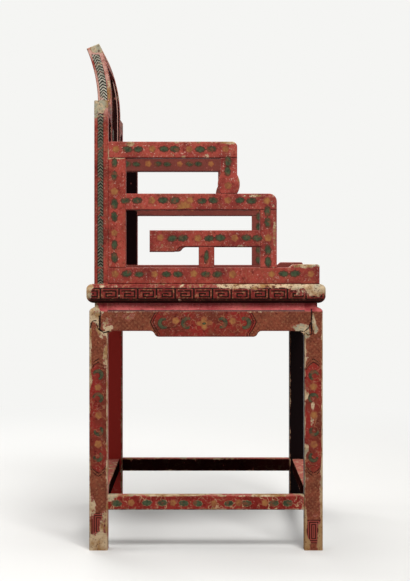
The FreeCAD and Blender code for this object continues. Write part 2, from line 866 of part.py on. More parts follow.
def make_arm(side):
    """One open-fret arm: a sill, a rear upright, and rails that step down towards the front."""
    hand = SIDE_NAMES[side]
    x = sided(side, arm_inner, arm_outer)
    upright_y = (upright_front, back_front)
    upper_y = (top_front, upper_post_rear)
    lower_y = (mid_front, lower_post_rear)
    strut_y = span(strut_middle, dim.strut_width)
    mid_z = (arm_mid_bottom, arm_mid_top)
    free_z = (free_bottom, free_top)

    upright_foot = upright_tenon(side, upright_y, sill_top, False)
    upright_head = upright_tenon(side, upright_y, arm_top_bottom, True)
    upper_foot = upright_tenon(side, upper_y, arm_mid_top, False)
    upper_head = upright_tenon(side, upper_y, arm_top_bottom, True)
    lower_foot = upright_tenon(side, lower_y, sill_top, False)
    lower_head = upright_tenon(side, lower_y, arm_mid_bottom, True)
    strut_foot = upright_tenon(side, strut_y, sill_top, False)
    strut_head = upright_tenon(side, strut_y, free_bottom, True)
    mid_tenon = rail_tenon(side, upright_front, mid_z, False)
    free_tenon = rail_tenon(side, lower_post_rear, free_z, True)

    label = "arm_sill_" + hand
    rail = stepped_sill(label + "_bar", x)
    finish(
        label,
        [rail] + tenons(label, arm_sill_tenons(side)),
        sockets(label, [upright_foot, lower_foot, strut_foot]),
    )

    label = "arm_rear_upright_" + hand
    post = bar(label + "_bar", "z", x, upright_y, (sill_top, arm_top_bottom))
    finish(
        label,
        [post] + tenons(label, [upright_foot, upright_head]),
        sockets(label, [mid_tenon] + slip_tenons(side)),
    )

    label = "arm_top_rail_" + hand
    rail = rounded_front_rail(
        label + "_bar", back_front, top_front, arm_top_bottom, arm_top, dim.arm_top_corner_radius, x
    )
    finish(label, [rail], sockets(label, [upright_head, upper_head]))

    label = "arm_upper_post_" + hand
    lobe_top = arm_mid_top + dim.lobe_height
    lobe_radius = dim.lobe_height * dim.lobe_height / (dim.lobe_swell * 8) + dim.lobe_swell / 2
    start = (top_front, arm_top_bottom)
    steps = [
        line((top_front, lobe_top)),
        arc((top_front, arm_mid_top), lobe_radius, "right"),
        line((upper_post_rear, arm_mid_top)),
        arc((upper_post_rear, lobe_top), lobe_radius, "right"),
        line((upper_post_rear, arm_top_bottom)),
        line(start),
    ]
    post = plate(
        label + "_bar", "YZ", start, steps, x, lambda p: at(p.z, arm_top_bottom) or at(p.z, arm_mid_top)
    )
    finish(label, [post] + tenons(label, [upper_foot, upper_head]))

    label = "arm_middle_rail_" + hand
    rail = rounded_front_rail(
        label + "_bar", upright_front, mid_front, arm_mid_bottom, arm_mid_top, dim.arm_mid_corner_radius, x
    )
    finish(label, [rail] + tenons(label, [mid_tenon]), sockets(label, [upper_foot, lower_head]))

    label = "arm_lower_post_" + hand
    post = bar(label + "_bar", "z", x, lower_y, (sill_top, arm_mid_bottom))
    finish(label, [post] + tenons(label, [lower_foot, lower_head]), sockets(label, [free_tenon]))

    label = "arm_free_rail_" + hand
    drop_level = free_bottom - dim.free_end_drop
    drop_front = free_rear - dim.free_end_length
    ramp_front = drop_front - dim.free_end_ramp
    start = (free_rear, free_top)
    steps = [
        line((lower_post_rear, free_top)),
        line((lower_post_rear, free_bottom)),
        line((ramp_front, free_bottom)),
        *ogee((ramp_front, free_bottom), (drop_front, drop_level)),
        line((free_rear, drop_level)),
        line(start),
    ]
    rail = plate(label + "_bar", "YZ", start, steps, x, lambda p: at(p.y, lower_post_rear))
    finish(label, [rail] + tenons(label, [free_tenon]), sockets(label, [strut_head]))

    label = "arm_strut_" + hand
    post = bar(label + "_bar", "z", x, strut_y, (sill_top, free_bottom))
    finish(label, [post] + tenons(label, [strut_foot, strut_head]))


def make_slip_tenons():
    """The loose tenons that hold the arms to the back posts, as one group."""
    places = slip_tenons(LEFT) + slip_tenons(RIGHT)
    finish("slip_tenons", [block("slip_tenon", *place) for place in places])


def curve_angle(length):
    """The angle, in degrees, that a length measured along the back's middle line turns through."""
    middle_radius = dim.curve_radius - dim.post_depth / 2
    return length / middle_radius * DEGREES_PER_RADIAN


def on_curve(radius, degrees):
    """A point on the back's curve: how far it lies from the curve's centre, and its turn."""
    return (curve_centre_y - radius * cosine(degrees), curve_start + radius * sine(degrees))


def curved_bar(name, front_radius, rear_radius, foot, top_angle, x):
    """An upright that is straight from its foot and then bends backward to its top."""
    front = curve_centre_y - front_radius
    rear = curve_centre_y - rear_radius
    start = (front, foot)
    steps = [
        line((front, curve_start)),
        arc(on_curve(front_radius, top_angle), front_radius, "left"),
        line(on_curve(rear_radius, top_angle)),
        arc((rear, curve_start), rear_radius, "right"),
        line((rear, foot)),
        line(start),
    ]
    return plate(name, "YZ", start, steps, x, lambda p: at(p.z, foot) or is_end(p, top_angle))


def is_end(point, angle):
    """Whether a point lies on the slice across the back's bend at an angle."""
    rise = point.z - curve_start.value
    run = curve_centre_y.value - point.y
    return math.isclose(math.degrees(math.atan2(rise, run)), angle.value, abs_tol=1e-6)


def curved_piece(name, front_radius, rear_radius, low_angle, high_angle, x, sharp=None):
    """A piece of the back's bend between two turns."""
    start = on_curve(front_radius, low_angle)
    steps = [
        arc(on_curve(front_radius, high_angle), front_radius, "left"),
        line(on_curve(rear_radius, high_angle)),
        arc(on_curve(rear_radius, low_angle), rear_radius, "right"),
        line(start),
    ]
    return plate(name, "YZ", start, steps, x, sharp)


front_curve = dim.curve_radius
rear_curve = dim.curve_radius - dim.post_depth
middle_curve = (front_curve + rear_curve) / 2
crest_low_angle = curve_angle(dim.curve_length - dim.crest_height)
crest_high_angle = curve_angle(dim.curve_length)
tenon_high_angle = curve_angle(dim.curve_length - dim.crest_height + dim.tenon_length)
socket_low_angle = curve_angle(dim.curve_length - dim.crest_height - dim.joint_clearance)
socket_high_angle = curve_angle(
    dim.curve_length - dim.crest_height + dim.tenon_length + dim.joint_clearance
)


def stile_tenon_x(side):
    """The x pair of a stile's tenons."""
    return sided(side, stile_inner + dim.tenon_shoulder, stile_outer - dim.tenon_shoulder)


def stile_foot_tenon(side):
    """A stile's tenon in the back's sill."""
    y = span(back_middle, dim.tenon_thickness)
    return stile_tenon_x(side), y, (sill_top - dim.tenon_length, sill_top)


def back_rail_tenons(side, z):
    """A side rail's tenons: in the back post, and in the stile."""
    y = span(back_middle, dim.tenon_thickness)
    inside_z = (z[0] + dim.tenon_shoulder, z[1] - dim.tenon_shoulder)
    in_post = (sided(side, post_inner, post_inner + dim.tenon_length), y, inside_z)
    in_stile = (sided(side, stile_outer - dim.tenon_length, stile_outer), y, inside_z)
    return in_post, in_stile


def back_post_head(side):
    """A back post's tenon in the shoulder rail above it."""
    x = sided(side, post_inner + dim.tenon_shoulder, arm_outer - dim.tenon_shoulder)
    y = span(back_middle, dim.tenon_thickness)
    return x, y, (shoulder_bottom, shoulder_bottom + dim.tenon_length)


mid_rail_z = (arm_mid_bottom, arm_mid_top)
sill_z = (frame_top, sill_top)
shoulder_z = (shoulder_bottom, post_top)
back_y = (back_front, back_rear)


def splat_slot(level_low, level_high):
    """The slot in the back's sill for the splat's foot."""
    x = grown((-dim.splat_width / 2, dim.splat_width / 2))
    y = grown(span(back_middle, dim.splat_thickness))
    return x, y, (level_low - dim.joint_clearance, level_high + dim.joint_clearance)


def make_back_posts():
    """The outer posts of the back, which carry the arms and the shoulder rails."""
    for side in (LEFT, RIGHT):
        label = "back_post_" + SIDE_NAMES[side]
        x = sided(side, post_inner, arm_outer)
        post = bar(label + "_bar", "z", x, back_y, (frame_top, shoulder_bottom))
        in_sill = back_rail_tenons(side, sill_z)[0]
        in_mid = back_rail_tenons(side, mid_rail_z)[0]
        finish(
            label,
            [post] + tenons(label, [post_foot_tenon(side), back_post_head(side)]),
            sockets(label, [in_sill, in_mid] + slip_tenons(side)),
        )


def make_shoulder_rails():
    """The rails that cap the outer posts and run in to the stiles, with a shaped lower edge."""
    for side in (LEFT, RIGHT):
        label = "shoulder_rail_" + SIDE_NAMES[side]
        drop_level = shoulder_bottom - dim.shoulder_drop
        drop_end = stile_outer + dim.shoulder_drop_length
        ramp_end = drop_end + dim.shoulder_ramp
        start = (side * arm_outer, post_top)
        steps = [
            line((side * stile_outer, post_top)),
            line((side * stile_outer, drop_level)),
            line((side * drop_end, drop_level)),
            *ogee((side * drop_end, drop_level), (side * ramp_end, shoulder_bottom)),
            line((side * arm_outer, shoulder_bottom)),
            line(start),
        ]
        joint = side * stile_outer
        rail = plate(label + "_bar", "XZ", start, steps, back_y, lambda p: at(p.x, joint))
        in_stile = back_rail_tenons(side, shoulder_z)[1]
        finish(label, [rail] + tenons(label, [in_stile]), sockets(label, [back_post_head(side)]))


def make_back_rails():
    """The back's sill on the seat, and the rail in each side bay."""
    in_posts = [back_rail_tenons(side, sill_z)[0] for side in (LEFT, RIGHT)]
    sill = bar("back_sill_bar", "x", (-post_inner, post_inner), back_y, sill_z)
    slot = block("back_sill_slot", *splat_slot(sill_top - dim.tenon_length, sill_top))
    finish(
        "back_sill",
        [sill] + tenons("back_sill", in_posts + back_sill_tenons()),
        sockets("back_sill", [stile_foot_tenon(side) for side in (LEFT, RIGHT)]) + [slot],
    )
    for side in (LEFT, RIGHT):
        label = "back_side_rail_" + SIDE_NAMES[side]
        rail = bar(label + "_bar", "x", sided(side, stile_outer, post_inner), back_y, mid_rail_z)
        finish(label, [rail] + tenons(label, back_rail_tenons(side, mid_rail_z)))


def make_stiles():
    """The inner stiles, which bend backward above the shoulders and carry the crest rail."""
    half_tenon = dim.tenon_thickness / 2
    for side in (LEFT, RIGHT):
        label = "back_stile_" + SIDE_NAMES[side]
        x = sided(side, stile_inner, stile_outer)
        stile = curved_bar(label + "_bar", front_curve, rear_curve, sill_top, crest_low_angle, x)
        head = curved_piece(
            label + "_head",
            middle_curve + half_tenon,
            middle_curve - half_tenon,
            crest_low_angle,
            tenon_high_angle,
            stile_tenon_x(side),
        )
        in_mid = back_rail_tenons(side, mid_rail_z)[1]
        in_shoulder = back_rail_tenons(side, shoulder_z)[1]
        finish(
            label,
            [stile, head] + tenons(label, [stile_foot_tenon(side)]),
            sockets(label, [in_mid, in_shoulder]),
        )


def make_crest_rail():
    """The crest rail on top of the stiles, following their bend."""
    half_tenon = dim.tenon_thickness / 2 + dim.joint_clearance
    half_splat = dim.splat_thickness / 2 + dim.joint_clearance
    rail = curved_piece(
        "crest_bar",
        front_curve,
        rear_curve,
        crest_low_angle,
        crest_high_angle,
        (-stile_outer, stile_outer),
        lambda p: is_end(p, crest_low_angle),
    )
    cuts = [
        curved_piece(
            "crest_socket_" + SIDE_NAMES[side],
            middle_curve + half_tenon,
            middle_curve - half_tenon,
            socket_low_angle,
            socket_high_angle,
            grown(stile_tenon_x(side)),
        )
        for side in (LEFT, RIGHT)
    ]
    cuts.append(
        curved_piece(
            "crest_slot",
            middle_curve + half_splat,
            middle_curve - half_splat,
            socket_low_angle,
            socket_high_angle,
            grown((-dim.splat_width / 2, dim.splat_width / 2)),
        )
    )
    finish("crest_rail", [rail], cuts)


def make_splat():
    """The splat in the middle of the back, let in to the sill and the crest rail."""
    half_splat = dim.splat_thickness / 2
    board = curved_bar(
        "splat_board",
        middle_curve + half_splat,
        middle_curve - half_splat,
        sill_top - dim.tenon_length,
        tenon_high_angle,
        (-dim.splat_width / 2, dim.splat_width / 2),
    )
    finish("back_splat", [board])


def check_and_export():
    """Stops on any failed object, then writes one file per piece and prints the pieces' sizes."""
    doc.recompute()
    failed = [o.Label for o in doc.Objects if "Invalid" in o.State or "Error" in o.State]
    if failed:
        raise RuntimeError("failed objects: " + ", ".join(failed))
    os.makedirs("parts", exist_ok=True)
    total = None
    for piece in finished:
        shape = piece.Shape
        if shape.isNull() or not shape.isValid():
            raise RuntimeError("bad shape: " + piece.Label)
        shape.exportStep("parts/" + piece.Label + ".step")
        total = shape.BoundBox if total is None else total.united(shape.BoundBox)
        print(piece.Label, len(shape.Solids), "solid(s)", round(shape.Volume / 1000, 1), "cm3")
    print(len(finished), "pieces; low corner", total.XMin, total.YMin, total.ZMin)
    print("high corner", total.XMax, total.YMax, total.ZMax)


def main():
    """Builds every piece, from the floor up."""
    for side in (LEFT, RIGHT):
        for end in (FRONT, REAR):
            make_leg(side, end)
    make_stretchers()
    make_aprons()
    make_waist()
    for side in (LEFT, RIGHT):
        make_side_seat_rail(side)
    for end in (FRONT, REAR):
        make_long_seat_rail(end)
    make_seat_panel()
    for side in (LEFT, RIGHT):
        make_arm(side)
    make_slip_tenons()
    make_back_posts()
    make_shoulder_rails()
    make_back_rails()
    make_stiles()
    make_crest_rail()
    make_splat()
    check_and_export()


main()
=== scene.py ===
"""Dresses the red-lacquered armchair: worn lacquer on its members, painted ornament, studio and camera.

Metres, in the chair's own frame: +Z up, the sitter faces -Y, and -X is the side that the photograph
shows. Every member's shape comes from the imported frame. This script gives the members their lacquer
and lays the painted ornament on them as thin raised pieces.
"""

import logging
import math
import random
from dataclasses import dataclass, field, replace
from enum import Enum
from functools import partial, reduce
from typing import Callable, Iterable, Mapping, Optional, Sequence, Union

import bpy
from mathutils import Matrix, Vector


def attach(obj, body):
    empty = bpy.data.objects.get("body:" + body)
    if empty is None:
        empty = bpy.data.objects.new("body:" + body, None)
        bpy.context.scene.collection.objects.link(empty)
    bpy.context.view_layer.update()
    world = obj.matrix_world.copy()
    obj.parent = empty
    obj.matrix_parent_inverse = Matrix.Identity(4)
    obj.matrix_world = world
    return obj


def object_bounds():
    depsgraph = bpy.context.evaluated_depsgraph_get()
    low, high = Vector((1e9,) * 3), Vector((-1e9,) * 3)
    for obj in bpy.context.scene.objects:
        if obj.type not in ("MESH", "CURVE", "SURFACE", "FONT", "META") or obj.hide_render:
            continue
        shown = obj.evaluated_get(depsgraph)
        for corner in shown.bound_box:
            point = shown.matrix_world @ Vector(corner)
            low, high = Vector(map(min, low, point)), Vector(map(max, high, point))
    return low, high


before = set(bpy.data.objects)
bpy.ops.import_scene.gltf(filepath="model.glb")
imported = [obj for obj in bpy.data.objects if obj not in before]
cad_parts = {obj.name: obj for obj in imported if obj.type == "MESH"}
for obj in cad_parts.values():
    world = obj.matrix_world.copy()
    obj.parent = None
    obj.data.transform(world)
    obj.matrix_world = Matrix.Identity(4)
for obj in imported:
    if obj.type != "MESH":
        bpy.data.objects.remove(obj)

LOG = logging.getLogger("lacquered_armchair")
CAD_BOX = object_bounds()
SEED = 7

# The photograph, in pixels, and its scale in the plane of the near legs' outer faces
IMAGE_HEIGHT = 581
HORIZON_ROW = 250.0
FLOOR_ROW = 550.5
MIDDLE_COLUMN = 206.0
VIEW_COLUMN = 205.0
METRES_PER_PIXEL = 0.0019
SENSOR_HEIGHT_MM = 36.0

# Sizes that several finishes and their ornament share: the middles of the legs, the axis of the back's
# bend, the plane past which a point is on the chair's left, how close to a face its points are looked
# for, and over how far a painted edge fades
LEG_MIDDLE_X = 0.2775
LEG_MIDDLE_Y = 0.2045
BEND_Y = 0.4935
BEND_Z = 0.858
NEAR_SIDE = -0.14
FACE_REACH = 0.0007
EDGE_SOFT = 0.0005

Number = Union[float, "Field"]
Colour = tuple[float, float, float]


def tint(red: int, green: int, blue: int) -> Colour:
    """A colour for a shader socket, from the way it looks on screen.

    Args:
        red: Red, 0 to 255.
        green: Green, 0 to 255.
        blue: Blue, 0 to 255.

    Returns:
        The same colour in linear light.
    """

    def linear(level: int) -> float:
        """One channel in linear light."""
        share = level / 255
        return share / 12.92 if share <= 0.04045 else ((share + 0.055) / 1.055) ** 2.4

    return (linear(red), linear(green), linear(blue))


def depth_at(column: float) -> float:
    """The Y of a photograph's column, in the plane of the near arm."""
    return (MIDDLE_COLUMN - column) * METRES_PER_PIXEL


def height_at(row: float) -> float:
    """The Z of a photograph's row, in the plane of the near arm."""
    return (FLOOR_ROW - row) * METRES_PER_PIXEL


class Axis(Enum):
    """An axis of the chair's frame."""

    X = 0
    Y = 1
    Z = 2


class Ground(Enum):
    """How a lacquered surface is painted before the ornament goes on."""

    PLAIN = "plain"
    LEG = "leg"
    HERRINGBONE = "herringbone"
    STRETCHER = "stretcher"
    FRET = "fret"
    CARTOUCHE = "cartouche"


def math_method(operation: str, turned: bool = False) -> Callable[..., "Field"]:
    """A method for an operator, which puts its values through a Math node.

    Args:
        operation: The Math node's operation.
        turned: Whether the values change places, for a plain number on the operator's left.

    Returns:
        The method.
    """

    def method(*values: Number) -> "Field":
        """The Math node's result."""
        return values[0].graph.op(operation, *(values[::-1] if turned else values))

    return method


class Field:
    """A node's output: a value over the surface, or a colour, that takes part in arithmetic."""

    def __init__(self, graph: "Graph", socket: bpy.types.NodeSocket) -> None:
        """Takes an output of one of the graph's nodes."""
        self.graph = graph
        self.socket = socket

    __add__ = __radd__ = math_method("ADD")
    __sub__ = math_method("SUBTRACT")
    __rsub__ = math_method("SUBTRACT", turned=True)
    __mul__ = __rmul__ = math_method("MULTIPLY")
    __truediv__ = math_method("DIVIDE")
    __pow__ = math_method("POWER")
    __lt__ = math_method("LESS_THAN")
    __abs__ = math_method("ABSOLUTE")


class Graph:
    """A node tree, built up node by node."""

    def __init__(self, tree: bpy.types.NodeTree) -> None:
        """Takes a tree and empties it."""
        self.tree = tree
        tree.nodes.clear()

    def node(
        self, kind: str, inputs: Optional[Mapping[object, object]] = None, **settings: object
    ) -> bpy.types.Node:
        """A new node.

        Args:
            kind: The node's type.
            inputs: What its inputs take, by their names or numbers.
            settings: Some of its settings.

        Returns:
            The node.
        """
        made = self.tree.nodes.new(kind)
        for key, value in settings.items():
            setattr(made, key, value)
        for key, value in (inputs or {}).items():
            self.feed(made.inputs[key], value)
        return made

    def field(self, output: object, kind: str, *inputs: Mapping[object, object], **settings: object) -> Field:
        """An output of a new node, by its name or number."""
        return Field(self, self.node(kind, *inputs, **settings).outputs[output])

    def feed(self, socket: bpy.types.NodeSocket, value: object) -> None:
        """Links an output to a socket, or sets the socket to a plain value.

        Args:
            socket: The socket.
            value: A field, an output, a number or a colour.
        """
        if isinstance(value, Field):
            value = value.socket
        if isinstance(value, bpy.types.NodeSocket):
            self.tree.links.new(value, socket)
        else:
            socket.default_value = (*value, 1.0) if socket.type == "RGBA" else value

    def op(self, operation: str, *values: Number, clamp: bool = False) -> Field:
        """The result of a Math node."""
        return self.field(0, "ShaderNodeMath", dict(enumerate(values)), operation=operation, use_clamp=clamp)

    def most(self, *values: Number) -> Number:
        """The largest of several values."""
        return reduce(partial(self.op, "MAXIMUM"), values)

    def least(self, *values: Number) -> Number:
        """The smallest of several values."""
        return reduce(partial(self.op, "MINIMUM"), values)

    def rise(self, value: Number, low: Number, high: Number) -> Field:
        """A smooth step from 0 at low to 1 at high, or downwards where low is above high."""
        inputs = {"Value": value, "From Min": low, "From Max": high}
        return self.field("Result", "ShaderNodeMapRange", inputs, interpolation_type="SMOOTHSTEP")

    def near(self, value: Number, middle: Number, reach: Number) -> Field:
        """1 where a value lies within reach of a middle, and 0 elsewhere."""
        return self.op("COMPARE", value, middle, reach)

    def mix(self, share: Number, first: object, second: object) -> Field:
        """Two colours mixed by a share."""
        return self.field(2, "ShaderNodeMix", {0: share, 6: first, 7: second}, data_type="RGBA")

    def coats(self, colour: object, *layers: tuple[Number, object]) -> object:
        """A colour with others mixed over it in turn, each by its share.

        Args:
            colour: The colour at the bottom.
            layers: The shares and the colours over it.

        Returns:
            The mixed colour.
        """
        for share, layer in layers:
            colour = self.mix(share, colour, layer)
        return colour


class PaintGraph(Graph):
    """A material's node tree, on Object coordinates."""

    def __init__(self, name: str) -> None:
        """Starts a material with a shader and an output.

        Args:
            name: The material's name.
        """
        self.material = bpy.data.materials.new(name)
        self.material.use_nodes = True
        super().__init__(self.material.node_tree)
        self.shader = self.node("ShaderNodeBsdfPrincipled")
        self.output = self.node("ShaderNodeOutputMaterial", {"Surface": self.shader.outputs["BSDF"]})
        self.place = self.node("ShaderNodeTexCoord").outputs["Object"]
        split = self.node("ShaderNodeSeparateXYZ", {0: self.place})
        self.x, self.y, self.z = (Field(self, output) for output in split.outputs)
        self.axes = dict(zip(Axis, (self.x, self.y, self.z)))

    def noise(self, scale: float, detail: float = 4.0, roughness: float = 0.55) -> Field:
        """Noise on the object's coordinates, from 0 to 1, as many cycles to the metre as scale says."""
        inputs = {"Vector": self.place, "Scale": scale, "Detail": detail, "Roughness": roughness}
        return self.field("Fac", "ShaderNodeTexNoise", inputs)

    def patches(self, low: float, high: float, *noise: float) -> Field:
        """Patches of noise: a smooth step from 0 where it is at low to 1 where it is at high."""
        return self.rise(self.noise(*noise), low, high)

    def net(self, scale: float) -> Field:
        """How far each point lies from the edges of a net of cells."""
        inputs = {"Vector": self.place, "Scale": scale}
        return self.field("Distance", "ShaderNodeTexVoronoi", inputs, feature="DISTANCE_TO_EDGE")

    def normal(self) -> Field:
        """The surface's normal."""
        return self.field("True Normal", "ShaderNodeNewGeometry")

    def rounded(self, radius: float) -> Field:
        """The normal as it would be with the arrises rounded to a radius."""
        return self.field("Normal", "ShaderNodeBevel", {"Radius": radius}, samples=6)

    def upward(self, normal: Field) -> Field:
        """How far a normal points up."""
        return self.field("Z", "ShaderNodeSeparateXYZ", {0: normal})

    def edges(self, radius: float) -> Field:
        """0 on a flat, rising towards 1 on an arris, within a radius of it."""
        normals = {0: self.rounded(radius), 1: self.normal()}
        return 1.0 - self.field("Value", "ShaderNodeVectorMath", normals, operation="DOT_PRODUCT")

    def lower_edges(self, radius: float) -> Field:
        """0 on a flat, rising to 1 towards an arris at the foot of a face, within a radius of it."""
        return self.rise(self.upward(self.rounded(radius)), -0.08, -0.4)

    def dress(
        self, colour: object, roughness: Number, height: Number, depth: float, gloss: float = 0.5
    ) -> bpy.types.Material:
        """Feeds the shader.

        Args:
            colour: The base colour.
            roughness: The roughness.
            height: The bump's height.
            depth: How deep a height of 1 is.
            gloss: The specular level.

        Returns:
            The material.
        """
        bump = self.field("Normal", "ShaderNodeBump", {"Distance": depth, "Height": height})
        inputs = {"Base Color": colour, "Roughness": roughness, "Normal": bump, "Specular IOR Level": gloss}
        for name, value in inputs.items():
            self.feed(self.shader.inputs[name], value)
        return self.material


@dataclass(frozen=True)
class WornBand:
    """A stretch along one axis where the lacquer is rubbed away more than elsewhere.

    Attributes:
        axis: The axis.
        low: Where the stretch starts.
        high: Where it ends.
        strength: How strongly it wears, against the noise.
        soft: How far its ends fade.
    """

    axis: Axis
    low: float
    high: float
    strength: float
    soft: float = 0.02

    def mask(self, graph: PaintGraph) -> Field:
        """How strongly the band wears each point, from 0 to its strength.

        Args:
            graph: The material's tree.

        Returns:
            The mask.
        """
        place = graph.axes[self.axis]
        rising = graph.rise(place, self.low - self.soft, self.low + self.soft)
        falling = graph.rise(place, self.high + self.soft, self.high - self.soft)
        return rising * falling * self.strength


@dataclass(frozen=True)
class WornSpot:
    """A patch on the chair's left side where the lacquer has come away, as seen in the photograph.

    Attributes:
        column: The patch's middle, in the photograph's columns.
        row: Its middle, in the photograph's rows.
        wide: Half its width, in pixels.
        tall: Half its height, in pixels.
        strength: How strongly it wears, against the noise.
        grey: Whether the ground that it bares is the grey-green one.
    """

    column: float
    row: float
    wide: float
    tall: float
    strength: float = 0.3
    grey: bool = False

    def mask(self, graph: PaintGraph) -> Field:
        """How strongly the patch wears each point.

        Args:
            graph: The material's tree.

        Returns:
            The mask.
        """
        along = (graph.y - depth_at(self.column)) / (self.wide * METRES_PER_PIXEL)
        up = (graph.z - height_at(self.row)) / (self.tall * METRES_PER_PIXEL)
        inside = graph.rise(along * along + up * up, 2.0, 0.1)
        return inside * (graph.x < NEAR_SIDE) * self.strength


@dataclass(frozen=True)
class Crack:
    """An open crack on the chair's left side, through points of the photograph.

    Attributes:
        points: The crack's points, each a column and a row.
        width: Half its width, in pixels.
    """

    points: tuple[tuple[float, float], ...]
    width: float = 0.7

    def mask(self, graph: PaintGraph) -> Field:
        """1 in the crack and 0 elsewhere.

        Args:
            graph: The material's tree.

        Returns:
            The mask.
        """
        away = graph.least(*(self.distance(graph, *ends) for ends in zip(self.points, self.points[1:])))
        half = (graph.noise(240.0, 3.0, 0.6) * 2.6 - 0.4) * (self.width * METRES_PER_PIXEL)
        return (away < half) * (graph.x < NEAR_SIDE)

    def distance(self, graph: PaintGraph, start: tuple[float, float], end: tuple[float, float]) -> Field:
        """How far each point lies from the straight stretch between two of the crack's points.

        Args:
            graph: The material's tree.
            start: The first point, a column and a row.
            end: The second point.

        Returns:
            The distance, in metres.
        """
        along = depth_at(end[0]) - depth_at(start[0])
        up = height_at(end[1]) - height_at(start[1])
        square = along * along + up * up
        from_y = graph.y - depth_at(start[0])
        from_z = graph.z - height_at(start[1])
        share = graph.op("ADD", from_y * (along / square), from_z * (up / square), clamp=True)
        off_y = from_y - share * along
        off_z = from_z - share * up
        return graph.op("SQRT", off_y * off_y + off_z * off_z)


@dataclass(frozen=True)
class LegArris:
    """The four arrises of every leg, rubbed to the gesso along strips of uneven width.

    Attributes:
        start: How far from the leg's middle a strip starts.
        end: How far from it the strip wears fully.
        strength: How strongly it wears, against the noise.
        top: Where the strips end.
    """

    start: float = 0.0125
    end: float = 0.0172
    strength: float = 0.34
    top: float = 0.452

    def mask(self, graph: PaintGraph) -> Field:
        """How strongly the strips wear each point.

        Args:
            graph: The material's tree.

        Returns:
            The mask.
        """
        off = graph.least(abs(abs(graph.x) - LEG_MIDDLE_X), abs(abs(graph.y) - LEG_MIDDLE_Y))
        return graph.rise(off, self.start, self.end) * (graph.z < self.top) * self.strength


@dataclass(frozen=True)
class Palette:
    """The colours of the worn lacquer, as they look on screen."""

    red: Colour = tint(168, 72, 60)
    low_red: Colour = tint(158, 66, 54)
    deep_red: Colour = tint(114, 40, 36)
    brown_red: Colour = tint(128, 70, 50)
    # Pale pink: painted highlight on arrises and tops, and rubbed lacquer
    rubbed_red_and_highlight: Colour = tint(192, 114, 102)
    fleck: Colour = tint(218, 182, 164)
    # Dark brown: real grime, and painted shade on faces that look down and along lower arrises
    dirt: Colour = tint(74, 22, 20)
    tendril: Colour = tint(166, 116, 82)
    # Dark wine: painted shade on the arms' inner faces
    wine: Colour = tint(112, 58, 50)
    # Pink: painted highlight on the red waist moulding
    moulding_highlight: Colour = tint(188, 92, 90)
    moulding_deep: Colour = tint(152, 56, 60)
    bare: Colour = tint(200, 174, 140)
    bare_grey: Colour = tint(160, 155, 132)
    bare_dark: Colour = tint(156, 116, 74)
    crack: Colour = tint(26, 14, 12)
    maroon: Colour = tint(112, 38, 36)
    fret: Colour = tint(26, 20, 14)
    # Near black: painted shade under the seat rails, and inside and under the stretchers
    under: Colour = tint(12, 3, 3)
    foot_fret: Colour = tint(146, 66, 56)
    diaper_red: Colour = tint(135, 74, 53)
    diaper_ochre: Colour = tint(150, 102, 72)
    diaper_dark: Colour = tint(84, 42, 32)
    leaf: Colour = tint(74, 84, 60)
    leaf_dark: Colour = tint(50, 58, 42)
    leaf_rim: Colour = tint(62, 42, 32)
    ochre: Colour = tint(164, 112, 64)
    ochre_dark: Colour = tint(148, 92, 56)
    ochre_rim: Colour = tint(148, 82, 56)
    curl: Colour = tint(80, 84, 60)
    curl_dark: Colour = tint(54, 56, 42)
    herring: Colour = tint(108, 104, 88)
    herring_grey: Colour = tint(88, 86, 72)
    herring_light: Colour = tint(184, 180, 164)
    herring_dark: Colour = tint(28, 30, 26)
    margin: Colour = tint(206, 160, 146)
    inside_red: Colour = tint(176, 52, 44)
    # Near black: painted shade on inner faces, in gaps and on the front legs' insides
    inside_dark: Colour = tint(14, 4, 5)
    # Near black: painted shade on the splat, deep in the back
    splat: Colour = tint(34, 12, 12)
    splat_deep: Colour = tint(20, 8, 8)
    rail_red: Colour = tint(148, 52, 44)
    rail_deep: Colour = tint(118, 34, 30)
    cream: Colour = tint(196, 160, 120)
    base_red: Colour = tint(140, 44, 38)
    base_deep: Colour = tint(104, 48, 36)
    rubbed_leaf: Colour = tint(86, 54, 42)
    wood: Colour = tint(150, 112, 74)
    wood_dark: Colour = tint(112, 78, 48)


PALETTE = Palette()


